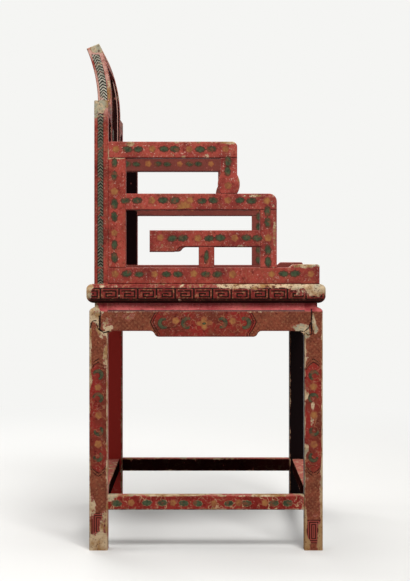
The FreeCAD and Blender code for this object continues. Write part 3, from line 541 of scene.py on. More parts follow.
@dataclass(frozen=True)
class Lacquer:
    """A coat of lacquer over gesso and wood, with its rubbed arrises, chips and cracks.

    Attributes:
        name: The material's name.
        ground: How the coat is painted.
        first: Its main colour.
        second: The colour that its main colour drifts to.
        chips: How much of the open surface has chipped to the gesso, as a share of the noise's range.
        rubbed: How strongly the arrises are rubbed.
        roughness: The roughness of the sound lacquer.
        along: The axis that a pattern runs along.
        bands: Where the coat is worn more.
        spots: Patches where it has come away.
        inner_faces: The distances from the chair's middle of side faces that look inward and are darker, as
            painted shade.
        inner_colour: The colour of that painted shade.
        inner_share: How fully that colour covers them.
        seam: Where set, the paint is a dark line below this height.
        tendrils: How strongly the thin tendrils between the figures are left.
        tendril_colour: Their colour.
        gloss: The shader's specular level.
        cracks: Open cracks in the coat.
        stain: How strongly it is stained brown.
        grime: How much grime it holds.
        flecks: How strongly it is flecked with pale specks.
        remains: How much dark paint is left in the bare patches.
        lower_edge_shade: How dark the painted shade is along the arrises at the foot of its faces.
        lower_edge_shade_reach: How far from those arrises the painted shade reaches.
        arris_reach: How far from an arris the coat is rubbed.
        seam_soft: Over how far the dark line below the seam fades.
        relief: How deep the chips lie.
    """

    name: str
    ground: Ground = Ground.PLAIN
    first: Colour = PALETTE.red
    second: Colour = PALETTE.deep_red
    chips: float = 0.22
    rubbed: float = 0.13
    roughness: float = 0.44
    along: Axis = Axis.Y
    bands: tuple[Union[WornBand, LegArris], ...] = ()
    spots: tuple[WornSpot, ...] = ()
    inner_faces: tuple[float, ...] = ()
    inner_colour: Colour = PALETTE.wine
    inner_share: float = 0.85
    seam: float = 0.0
    tendrils: float = 0.26
    tendril_colour: Colour = PALETTE.tendril
    gloss: float = 0.12
    cracks: tuple[Crack, ...] = ()
    stain: float = 0.5
    grime: float = 0.75
    flecks: float = 0.48
    remains: float = 0.0
    lower_edge_shade: float = 0.0
    lower_edge_shade_reach: float = 0.004
    arris_reach: float = 0.0035
    seam_soft: float = 0.0004
    relief: float = 0.0006

    def painted(self, graph: PaintGraph) -> Field:
        """The colour of the sound paint, with painted shade where faces look down and on inner faces.

        Args:
            graph: The material's tree.

        Returns:
            The colour, with the pattern of its ground.
        """
        curl = graph.rise(abs(graph.noise(84.0, 1.0, 0.4) - 0.5), 0.03, 0.012)
        curl = curl * graph.patches(0.42, 0.56, 40.0, 4.0)
        # Painted shade: faces that look down are darkened
        below = graph.rise(graph.upward(graph.normal()), -0.35, -0.8)
        layers = [
            (graph.patches(0.36, 0.68, 22.0, 7.0, 0.62), self.second),
            (graph.patches(0.5, 0.72, 48.0, 6.0, 0.65) * self.stain, PALETTE.brown_red),
            (graph.patches(0.47, 0.3, 130.0, 6.0, 0.7) * self.grime, PALETTE.dirt),
            (graph.patches(0.57, 0.7, 260.0, 5.0, 0.68) * self.flecks, PALETTE.fleck),
            (curl * self.tendrils, self.tendril_colour),
            (below * 0.8, PALETTE.dirt),
        ]
        # Painted shade on the side faces that look inward
        for level in self.inner_faces:
            inside = graph.near(abs(graph.x), level, FACE_REACH)
            layers.append((inside * self.inner_share, self.inner_colour))
        if self.seam:
            layers.append((graph.rise(graph.z, self.seam + self.seam_soft, self.seam), PALETTE.crack))
        colour = graph.coats(self.first, *layers)
        patterns = {
            Ground.STRETCHER: Stretcher(),
            Ground.FRET: FretBand(self.along),
            Ground.LEG: LegPanels(),
            Ground.HERRINGBONE: Herringbone(),
            Ground.CARTOUCHE: Cartouche(self.along),
        }
        return patterns[self.ground].over(graph, colour) if self.ground in patterns else colour

    def worn_level(self, graph: PaintGraph, arris: Field) -> Field:
        """How far the wear reaches at each point, to be set against the noise.

        Args:
            graph: The material's tree.
            arris: How close each point is to an arris, from 0 to 1.

        Returns:
            The level.
        """
        level = self.chips + graph.rise(arris, 0.01, 0.16) * self.rubbed
        for patch in (*self.bands, *self.spots):
            level = level + patch.mask(graph)
        return level

    def gesso(self, graph: PaintGraph) -> Field:
        """The colour of what lies bare under the paint: gesso, stained and soiled.

        Args:
            graph: The material's tree.

        Returns:
            The colour.
        """
        colour = graph.mix(graph.patches(0.42, 0.62, 42.0, 6.0), PALETTE.bare, PALETTE.bare_dark)
        colour = graph.mix(graph.patches(0.56, 0.7, 11.0, 4.0), colour, PALETTE.bare_grey)
        for spot in self.spots:
            if spot.grey:
                patchy = graph.patches(0.62, 0.42, 130.0, 6.0, 0.66)
                colour = graph.mix(spot.mask(graph) / spot.strength * patchy, colour, PALETTE.bare_grey)
        if self.ground is Ground.LEG:
            browner = (graph.y < 0.0) * 0.75 + 0.1
            colour = graph.mix(graph.rise(graph.z, 0.2, 0.01) * browner, colour, PALETTE.bare_dark)
        if self.remains:
            left = graph.patches(0.54, 0.58, 95.0, 6.0, 0.7)
            colour = graph.mix(left * self.remains, colour, PALETTE.dirt)
        return graph.mix(graph.patches(0.55, 0.63, 210.0, 6.0, 0.7) * 0.75, colour, PALETTE.dirt)

    def material(self) -> bpy.types.Material:
        """Builds the material: paint, arrises rubbed pink with a painted highlight, bare gesso with its dark
        lip, and cracks.

        Returns:
            The material.
        """
        graph = PaintGraph(self.name)
        arris = graph.edges(self.arris_reach)
        wear = (graph.noise(110.0, 9.0, 0.66) + graph.noise(28.0, 6.0, 0.62)) * 0.9 - 0.4
        depth = wear - self.worn_level(graph, arris)
        # Arrises lightened pink: painted highlight, and rubbing round the worn patches
        rubbed = graph.most(graph.rise(arris, 0.01, 0.2) * 0.35, graph.rise(depth, 0.1, 0.0) * 0.5)
        bare = graph.rise(depth, 0.004, -0.004)
        lip = graph.rise(depth, 0.014, 0.004) * (1.0 - bare)
        net = graph.rise(graph.net(34.0), 0.012, 0.004) * graph.patches(0.52, 0.62, 9.0, 3.0)
        colour = graph.mix(rubbed, self.painted(graph), PALETTE.rubbed_red_and_highlight)
        # Painted shade along the arrises at the foot of each face
        if self.lower_edge_shade:
            foot = graph.lower_edges(self.lower_edge_shade_reach)
            colour = graph.mix(foot * self.lower_edge_shade, colour, PALETTE.dirt)
        colour = graph.mix(bare, colour, self.gesso(graph))
        colour = graph.coats(colour, (lip * 0.45, PALETTE.crack), (net * 0.35, PALETTE.crack))
        if self.ground in (Ground.LEG, Ground.CARTOUCHE):
            colour = Joint().over(graph, colour)
        colour = graph.coats(colour, *((crack.mask(graph) * 0.94, PALETTE.crack) for crack in self.cracks))
        rough = self.roughness - 0.08 + graph.noise(36.0, 5.0) * 0.16 + bare * 0.3
        height = graph.noise(90.0, 3.0) * 0.25 - (bare + net * 0.5)
        return graph.dress(colour, rough, height, self.relief, self.gloss)


@dataclass(frozen=True)
class FretBand:
    """The square meander round the seat's edge, as strokes in a cell that repeats.

    Attributes:
        along: The axis that the rail runs along.
        cell: The length of a cell.
        start: Where a cell starts.
        low: The height of the band's foot.
        tall: The band's height.
        stroke: The width of a stroke.
        wander: How far the strokes stray up and down.
        rim: How far in from the chair's side the rail's edge starts to count, and where it does fully.
        shade: How far below the band the painted shade of the underside is fully dark.
    """

    along: Axis
    cell: float = 0.0355
    start: float = 0.131
    low: float = 0.4765
    tall: float = 0.0225
    stroke: float = 0.0025
    wander: float = 0.0016
    rim: tuple[float, float] = (0.008, 0.004)
    shade: float = 0.002

    def strokes(self) -> list[tuple[float, float, float, float]]:
        """The strokes as (low, high) along the cell and (low, high) up it, in strokes' widths.

        Returns:
            One set of four numbers for each stroke.
        """
        end = self.cell / self.stroke
        top = self.tall / self.stroke
        return [
            (0.0, end, 0.0, 1.0),
            (0.0, end, top - 0.8, top),
            (0.0, 1.2, 0.0, top),
            (2.4, end - 1.2, top - 2.8, top - 1.8),
            (end - 2.3, end - 1.2, 1.8, top - 1.8),
            (4.4, end - 1.2, 1.8, 2.8),
            (4.4, 5.5, 1.8, top - 3.8),
            (4.4, end - 4.4, top - 4.8, top - 3.8),
            (end - 5.5, end - 4.4, 3.9, top - 3.8),
        ]

    def over(self, graph: PaintGraph, ground: Field) -> Field:
        """The fret laid over the ground colour on the rail's outer edge.

        Args:
            graph: The material's tree.
            ground: The colour under the fret.

        Returns:
            The painted colour.
        """
        across = graph.op("WRAP", self.start - graph.axes[self.along], self.cell, 0.0) / self.stroke
        stray = (graph.noise(120.0, 3.0) - 0.5) * self.wander
        up = (graph.z - self.low + stray) / self.stroke
        lines = [
            graph.near(across, (left + right) / 2, (right - left) / 2)
            * graph.near(up, (bottom + top) / 2, (top - bottom) / 2)
            for left, right, bottom, top in self.strokes()
        ]
        outer, edge = (graph.x, CAD_BOX[1][0]) if self.along is Axis.Y else (graph.y, -CAD_BOX[0][1])
        on_edge = graph.rise(abs(outer), *(edge - inset for inset in self.rim))
        half = self.tall / self.stroke / 2
        in_band = graph.near(up, half, half + 0.9)
        faded = graph.patches(0.28, 0.42, 30.0, 5.0)
        rubbed = graph.mix(graph.patches(0.5, 0.68, 150.0, 5.0, 0.66), PALETTE.maroon, PALETTE.tendril)
        # Painted shade: the seat rail's underside near black
        below = graph.rise(graph.z, self.low + EDGE_SOFT, self.low - self.shade)
        return graph.coats(
            ground,
            (on_edge * 0.85, rubbed),
            (below * 0.92, PALETTE.under),
            (graph.most(*lines) * on_edge * in_band * faded, PALETTE.fret),
        )


@dataclass(frozen=True)
class Diaper:
    """A fine all-over lozenge pattern, nearly rubbed away.

    Attributes:
        pitch: The distance from line to line.
        wander: How far the lines stray.
        lift: Keeps the folded places above zero.
        line: How far from its middle a line starts to show, and where it does fully.
        heart: How far from the lines a lozenge's ochre heart starts to show, and where it does fully.
    """

    pitch: float = 0.0088
    wander: float = 0.012
    lift: float = 2.0
    line: tuple[float, float] = (0.0011, 0.0005)
    heart: tuple[float, float] = (0.0026, 0.0034)

    def over(self, graph: PaintGraph, ground: Field) -> Field:
        """The diaper laid over a ground colour.

        Args:
            graph: The material's tree.
            ground: The colour under it.

        Returns:
            The painted colour.
        """
        flat = graph.x + graph.y + graph.noise(60.0, 3.0) * self.wander
        rising = graph.op("PINGPONG", flat + graph.z + self.lift, self.pitch / 2)
        falling = graph.op("PINGPONG", flat - graph.z + self.lift, self.pitch / 2)
        off = graph.least(rising, falling)
        left = graph.patches(0.34, 0.56, 30.0, 6.0, 0.65)
        return graph.coats(
            ground,
            (0.85, PALETTE.diaper_red),
            (graph.patches(0.4, 0.66, 60.0, 6.0, 0.65) * 0.5, PALETTE.diaper_dark),
            (graph.patches(0.46, 0.36, 230.0, 5.0, 0.68) * 0.8, PALETTE.dirt),
            (graph.patches(0.52, 0.66, 190.0, 5.0, 0.66) * 0.5, PALETTE.tendril),
            (graph.rise(off, *self.line) * left * 0.36, PALETTE.diaper_dark),
            (graph.rise(off, *self.heart) * left * 0.34, PALETTE.diaper_ochre),
        )


@dataclass(frozen=True)
class Joint:
    """The open joint where an apron's end is let into a leg.

    Attributes:
        side: The distance of the joints on the side faces from the chair's middle.
        end: The distance of those on the front and rear faces.
        low: Where the joint starts.
        high: Where it ends.
        gap: Half its width.
        ragged: How far its line strays.
    """

    side: float = 0.201
    end: float = 0.274
    low: float = 0.4165
    high: float = 0.4545
    gap: float = 0.0012
    ragged: float = 0.004

    def over(self, graph: PaintGraph, ground: Field) -> Field:
        """The joint's dark line laid over the ground colour, a little ragged.

        Args:
            graph: The material's tree.
            ground: The colour under it.

        Returns:
            The painted colour.
        """
        stray = (graph.noise(160.0, 5.0) - 0.5) * self.ragged
        on_side = graph.near(abs(graph.y) + stray, self.side, self.gap)
        on_end = graph.near(abs(graph.x) + stray, self.end, self.gap)
        within = graph.near(graph.z, (self.low + self.high) / 2, (self.high - self.low) / 2)
        broken = graph.patches(0.36, 0.46, 70.0, 4.0)
        return graph.mix(graph.most(on_side, on_end) * within * broken * 0.92, ground, PALETTE.crack)


@dataclass(frozen=True)
class LegPanels:
    """A leg's outer faces: diaper, a long red panel with ogee ends, diaper, and a fret over the foot.

    The two inner faces are plain, red on the rear legs and, as painted shade, nearly black on the front ones.

    Attributes:
        side_face: The distance of the outer side faces from the chair's middle.
        end_face: The distance of the front and rear faces.
        face_soft: Over how far those faces fade in.
        panel_low: Where the panel starts, at its sides.
        panel_high: Where it ends, at its sides.
        point: How far its ends rise in their middle.
        second_line: How far the outer line round it lies from the inner one.
        line: Half the width of those lines.
        half_width: Half the width of the panel and of the fret.
        fret_low: Where the fret starts on a rear leg.
        fret_high: Where it ends there.
        front_drop: How much lower it lies on a front leg.
        fret_soft: Over how far its outline fades.
        lift: Keeps the folded places of its rings above zero.
        fold: Half the distance from one of its rings to the next.
        ring: How far from its middle a ring starts to show, and where it does fully.
        neck: Where the leg's neck starts.
        neck_soft: Over how far its colour sets in.
    """

    side_face: float = 0.2935
    end_face: float = 0.2205
    face_soft: float = 0.0004
    panel_low: float = 0.160
    panel_high: float = 0.345
    point: float = 0.013
    second_line: float = 0.006
    line: float = 0.0011
    half_width: float = 0.0125
    fret_low: float = 0.027
    fret_high: float = 0.071
    front_drop: float = 0.013
    fret_soft: float = 0.0008
    lift: float = 1.0
    fold: float = 0.0021
    ring: tuple[float, float] = (0.0012, 0.0009)
    neck: float = 0.4545
    neck_soft: float = 0.001

    def over(self, graph: PaintGraph, ground: Field) -> Field:
        """The panels laid over the ground colour.

        Args:
            graph: The material's tree.
            ground: The red of the panel.

        Returns:
            The painted colour.
        """
        x_off, y_off = abs(graph.x), abs(graph.y)
        on_side = graph.rise(x_off, self.side_face - self.face_soft, self.side_face)
        on_end = graph.rise(y_off, self.end_face - self.face_soft, self.end_face)
        across = graph.least(abs(x_off - LEG_MIDDLE_X), abs(y_off - LEG_MIDDLE_Y))
        middle = (self.panel_low + self.panel_high) / 2
        lean = graph.op("SUBTRACT", 1.0, across / self.half_width, clamp=True)
        past = abs(graph.z - middle) - (middle - self.panel_low + lean**0.55 * self.point)
        drawn = graph.most(*(graph.near(past, off, self.line) for off in (0.0, self.second_line)))
        front = graph.y < 0.0
        fret_off = abs(front * self.front_drop + graph.z - (self.fret_low + self.fret_high) / 2)
        ring = graph.most(fret_off - (self.fret_high - self.fret_low) / 2, across - self.half_width)
        in_fret = graph.rise(ring, self.fret_soft, 0.0)
        rings = graph.rise(graph.op("PINGPONG", ring + self.lift, self.fold), *self.ring) * in_fret
        faded = graph.patches(0.38, 0.52, 120.0, 5.0, 0.65)
        colour = graph.coats(
            ground,
            (graph.rise(past, -EDGE_SOFT, EDGE_SOFT), Diaper().over(graph, ground)),
            (in_fret, PALETTE.foot_fret),
            (graph.most(drawn * faded, rings) * 0.9, PALETTE.fret),
        )
        # Painted shade: the front legs' inner faces near black
        inside = graph.mix(front, PALETTE.inside_red, PALETTE.inside_dark)
        colour = graph.mix(graph.most(on_side, on_end), inside, colour)
        # Painted highlight: the neck pink like the waist moulding
        neck = graph.rise(graph.z, self.neck - self.neck_soft, self.neck) * 0.9
        pink = graph.mix(graph.patches(0.36, 0.62, 60.0, 5.0), PALETTE.moulding_highlight, PALETTE.moulding_deep)
        return graph.mix(neck, colour, pink)


@dataclass(frozen=True)
class Stretcher:
    """A stretcher: red outside, painted shade near black inside and below, its top pink as wear and painted
    highlight.

    Attributes:
        inner_x: The distance of the side stretchers' inner faces from the chair's middle.
        inner_y: The distance of the front and rear stretchers' inner faces.
        top: The height of the top.
        top_soft: Over how far the pink of the top sets in.
        bottom: The height of the underside.
    """

    inner_x: float = 0.267
    inner_y: float = 0.194
    top: float = 0.1035
    top_soft: float = 0.0008
    bottom: float = 0.0775

    def over(self, graph: PaintGraph, ground: Field) -> Field:
        """The dark inside and the rubbed top laid over the ground colour.

        Args:
            graph: The material's tree.
            ground: The colour under it.

        Returns:
            The painted colour.
        """
        x_in = graph.rise(abs(graph.x), self.inner_x, self.inner_x - EDGE_SOFT)
        y_in = graph.rise(abs(graph.y), self.inner_y, self.inner_y - EDGE_SOFT)
        below = graph.rise(graph.z, self.bottom, self.bottom - EDGE_SOFT)
        top = graph.rise(graph.z, self.top - self.top_soft, self.top)
        # Painted shade: inner faces and underside near black; painted highlight with wear: the top pink
        dark = graph.most(x_in * y_in, below) * 0.95
        return graph.coats(ground, (dark, PALETTE.under), (top * 0.5, PALETTE.rubbed_red_and_highlight))


@dataclass(frozen=True)
class Herringbone:
    """The grey-green herringbone band up the side of the back's uprights, round their bend.

    Attributes:
        middle: The distance of the band's middle from the bend's axis.
        half_width: Half the band's width on the posts.
        upper_half_width: Half its width above the shoulder.
        pitch: The length of a stripe with its gap.
        slope: How far the stripes run up for their run across.
        wander: How far they stray.
        rim: Half the width of the dark line along each edge.
        post_face: The distance of the posts' outer faces from the chair's middle.
        stile_face: The distance of the stiles' outer faces.
        shoulder: The height above which the stiles carry the band.
        paling: Over how far below the bend the band turns pale.
        top: Where the band ends.
        soft: Over how far it changes at the shoulder, and half as much as it does at its top.
        inner_face: The distance of the stiles' inner faces.
        inner_line: The distance of the pale line on those faces from the bend's axis.
        inner_half: Half that line's width.
    """

    middle: float = 0.2924
    half_width: float = 0.0058
    upper_half_width: float = 0.0074
    pitch: float = 0.0061
    slope: float = 0.9
    wander: float = 0.005
    rim: float = 0.0007
    post_face: float = 0.286
    stile_face: float = 0.175
    shoulder: float = 0.846
    paling: float = 0.05
    top: float = 0.957
    soft: float = 0.001
    inner_face: float = 0.145
    inner_line: float = 0.3023
    inner_half: float = 0.0008

    def over(self, graph: PaintGraph, ground: Field) -> Field:
        """The band laid over the ground colour, on the outer side faces alone.

        Args:
            graph: The material's tree.
            ground: The colour under it.

        Returns:
            The painted colour.
        """
        drop = graph.most(graph.z - BEND_Z, 0.0)
        reach = BEND_Y - graph.y
        radius = graph.op("SQRT", drop * drop + reach * reach)
        run = graph.least(graph.z, BEND_Z) + graph.op("ARCTAN2", drop, reach) * self.middle
        across = abs(radius - self.middle)
        above = graph.rise(graph.z, self.shoulder - self.soft, self.shoulder)
        upper = graph.rise(graph.z, BEND_Z - self.paling, BEND_Z)
        half = above * (self.upper_half_width - self.half_width) + self.half_width
        slant = run + across * self.slope + graph.noise(110.0, 4.0) * self.wander
        stripe = graph.op("SINE", slant * (2 * math.pi / self.pitch))
        light = graph.mix(upper, PALETTE.herring, PALETTE.herring_light)
        weave = graph.coats(
            PALETTE.herring_dark,
            (graph.rise(stripe, -0.1, 0.1), light),
            (graph.patches(0.44, 0.6, 34.0, 6.0, 0.65) * 0.6, PALETTE.herring_grey),
            (graph.near(across, half, self.rim), PALETTE.fret),
        )
        x_off = abs(graph.x)
        post = graph.rise(x_off, self.post_face - EDGE_SOFT, self.post_face)
        stile = graph.near(x_off, self.stile_face, FACE_REACH)
        faces = graph.most(post, stile * above)
        blotch = graph.patches(0.35, 0.6, 40.0, 5.0, 0.6)
        line = graph.near(radius, self.inner_line, self.inner_half)
        line = graph.near(x_off, self.inner_face, FACE_REACH) * line
        worn = graph.patches(0.32, 0.46, 70.0, 7.0, 0.66)
        ends = graph.rise(graph.z, self.top + 2 * self.soft, self.top - 2 * self.soft)
        # Painted shade: the stiles' outer faces below the shoulder near black
        return graph.coats(
            ground,
            (graph.op("SUBTRACT", stile, above, clamp=True), PALETTE.inside_dark),
            (upper * faces * blotch * 0.95, PALETTE.margin),
            (line * 0.8, PALETTE.margin),
            ((across < half) * faces * worn * ends, weave),
        )


@dataclass(frozen=True)
class Cartouche:
    """The panel in the middle of an apron: plain red inside a double line, diaper outside it.

    Attributes:
        along: The axis that the apron runs along.
        side_half: Half the panel's length on a side apron.
        front_half: The same on the front and rear aprons.
        point: How far its ends bow out.
        side_shift: How far it lies off a side apron's middle.
        middle: The height of its middle.
        half_height: Half its height.
        line: Half the width of its lines.
        second_line: Where the inner line lies from the outer one.
    """

    along: Axis
    side_half: float = 0.088
    front_half: float = 0.121
    point: float = 0.0125
    side_shift: float = 0.005
    middle: float = 0.434
    half_height: float = 0.021
    line: float = 0.0011
    second_line: float = -0.0045

    def over(self, graph: PaintGraph, ground: Field) -> Field:
        """The cartouche laid over the ground colour.

        Args:
            graph: The material's tree.
            ground: The colour under it.

        Returns:
            The painted colour.
        """
        on_side = self.along is Axis.Y
        half, shift = (self.side_half, self.side_shift) if on_side else (self.front_half, 0.0)
        lean = graph.op("SUBTRACT", 1.0, abs(graph.z - self.middle) / self.half_height, clamp=True)
        past = abs(graph.axes[self.along] - shift) - (half + lean**0.7 * self.point)
        lines = graph.most(
            graph.near(past, 0.0, self.line),
            graph.near(past, self.second_line, self.line * 0.8),
        )
        faded = graph.patches(0.3, 0.45, 48.0, 4.0)
        return graph.coats(
            ground,
            (graph.rise(past, -EDGE_SOFT, EDGE_SOFT), Diaper().over(graph, ground)),
            (lines * faded * 0.85, PALETTE.fret),
        )


@dataclass(frozen=True)
class PlanedWood:
    """Bare planed wood with its grain along Y, for the pieces that the lacquer never reached.

    Attributes:
        name: The material's name.
        stretch: The grain's scale along each axis.
        roughness: The wood's roughness.
        relief: How deep its grain is.
    """

    name: str = "planed_wood"
    stretch: tuple[float, float, float] = (60.0, 4.0, 60.0)
    roughness: float = 0.7
    relief: float = 0.0003

    def material(self) -> bpy.types.Material:
        """Builds the material.

        Returns:
            The material.
        """
        graph = PaintGraph(self.name)
        along = graph.field("Vector", "ShaderNodeMapping", {"Vector": graph.place, "Scale": self.stretch})
        grain = graph.field("Fac", "ShaderNodeTexNoise", {"Vector": along, "Scale": 2.0, "Detail": 6.0})
        colour = graph.mix(graph.rise(grain, 0.35, 0.65), PALETTE.wood, PALETTE.wood_dark)
        return graph.dress(colour, self.roughness, grain, self.relief)


class Bench:
    """The operators' bench: starts, closes, selects and joins pieces as a modeller would by hand."""

    @staticmethod
    def clear() -> None:
        """Deselects every object."""
        bpy.ops.object.select_all(action="DESELECT")

    @staticmethod
    def circle(name: str, points: int, radius: float, fill: str = "TRIFAN") -> bpy.types.Object:
        """A new flat circle, left in edit mode with all of it selected.

        Args:
            name: The object's name.
            points: How many vertices its rim has.
            radius: Its radius.
            fill: How it is filled.

        Returns:
            The object.
        """
        Bench.clear()
        bpy.ops.mesh.primitive_circle_add(vertices=points, radius=radius, fill_type=fill)
        figure = bpy.context.active_object
        figure.name = name
        bpy.ops.object.mode_set(mode="EDIT")
        bpy.ops.mesh.select_all(action="SELECT")
        return figure

    @staticmethod
    def choose(piece: bpy.types.Object, test: Callable[[Vector], bool]) -> None:
        """Selects the vertices of a piece in edit mode by their place.

        Args:
            piece: The piece that is in edit mode.
            test: Says whether a vertex's place is wanted.
        """
        bpy.ops.mesh.select_all(action="DESELECT")
        bpy.ops.object.mode_set(mode="OBJECT")
        for vertex in piece.data.vertices:
            vertex.select = test(vertex.co)
        bpy.ops.object.mode_set(mode="EDIT")

    @staticmethod
    def thicken(figure: bpy.types.Object, depth: float, heart: Callable[[Vector], bool]) -> bpy.types.Object:
        """Gives the flat figure in edit mode a thickness below its plane, closes it and marks its heart.

        Args:
            figure: The figure.
            depth: Its thickness.
            heart: Says whether a vertex's place is in the heart, from which the paint turns to the rim's.

        Returns:
            The figure, in object mode.
        """
        bpy.ops.mesh.select_all(action="SELECT")
        bpy.ops.mesh.extrude_region_move(TRANSFORM_OT_translate={"value": (0.0, 0.0, -depth)})
        bpy.ops.mesh.select_all(action="SELECT")
        bpy.ops.mesh.normals_make_consistent(inside=False)
        bpy.ops.object.mode_set(mode="OBJECT")
        marks = figure.data.attributes.new("heart", "FLOAT", "POINT")
        for vertex in figure.data.vertices:
            marks.data[vertex.index].value = float(heart(vertex.co))
        return figure

    @staticmethod
    def join(name: str, copies: Sequence[bpy.types.Object]) -> bpy.types.Object:
        """Joins copies to one piece with a name.

        Args:
            name: The piece's name.
            copies: The objects to join.

        Returns:
            The joined piece.
        """
        Bench.clear()
        for copy in copies:
            copy.select_set(True)
        bpy.context.view_layer.objects.active = copies[0]
        bpy.ops.object.join()
        piece = bpy.context.view_layer.objects.active
        piece.name = piece.data.name = name
        Bench.clear()
        return piece


class Motif(Enum):
    """A figure of the painted ornament."""

    LEAF = "L"
    BLOSSOM = "F"
    CRESCENT = "C"
    LONG_LEAF = "S"
    QUATREFOIL = "Q"
    FAN = "H"
    PALE_LEAF = "P"
    GAP = "_"


# A figure, its distance from the middle of a panel and its height over that middle
Placed = tuple[Motif, float, float]


@dataclass(frozen=True)
class Paint:
    """A worn paint for the ornament, with its strokes, its fading and its chips.

    Attributes:
        name: The material's name.
        light: The colour of its thin strokes.
        dark: The colour of its thick ones.
        rim: The colour that it has at a figure's rim.
        edge: How far the rim reaches in.
        faded: How much of it has faded, as a level of the noise.
        roughness: The roughness of its thin strokes.
        relief: How high its thick strokes stand.
        gloss: The shader's specular level.
    """

    name: str
    light: Colour
    dark: Colour
    rim: Colour
    edge: float = 0.34
    faded: float = 0.45
    roughness: float = 0.44
    relief: float = 0.0002
    gloss: float = 0.06

    def material(self) -> bpy.types.Material:
        """Builds the material.

        Returns:
            The material.
        """
        graph = PaintGraph(self.name)
        stroke = graph.patches(0.36, 0.66, 140.0, 5.0, 0.62)
        heart = graph.field("Fac", "ShaderNodeAttribute", attribute_name="heart")
        ragged = heart + (graph.noise(260.0, 4.0, 0.65) * 0.7 - 0.35)
        fade = graph.patches(self.faded + 0.08, self.faded - 0.06, 75.0, 7.0, 0.68)
        colour = graph.coats(
            self.light,
            (stroke, self.dark),
            (graph.rise(ragged, self.edge, self.edge - 0.24), self.rim),
            (fade * 0.75, PALETTE.brown_red),
        )
        return graph.dress(colour, self.roughness + stroke * 0.2, stroke, self.relief, self.gloss)


@dataclass(frozen=True)
class Flower:
    """The outline of a flower seen from the front.

    Attributes:
        wide: Its width over the petals.
        petals: How many petals it has.
        notch: How far out the notches between the petals lie, as a share of the petals' reach.
        tall: Its height, as a share of its width.
        half: Whether the half towards -Y is left off.
    """

    wide: float
    petals: int
    notch: float = 0.8
    tall: float = 1.0
    half: bool = False


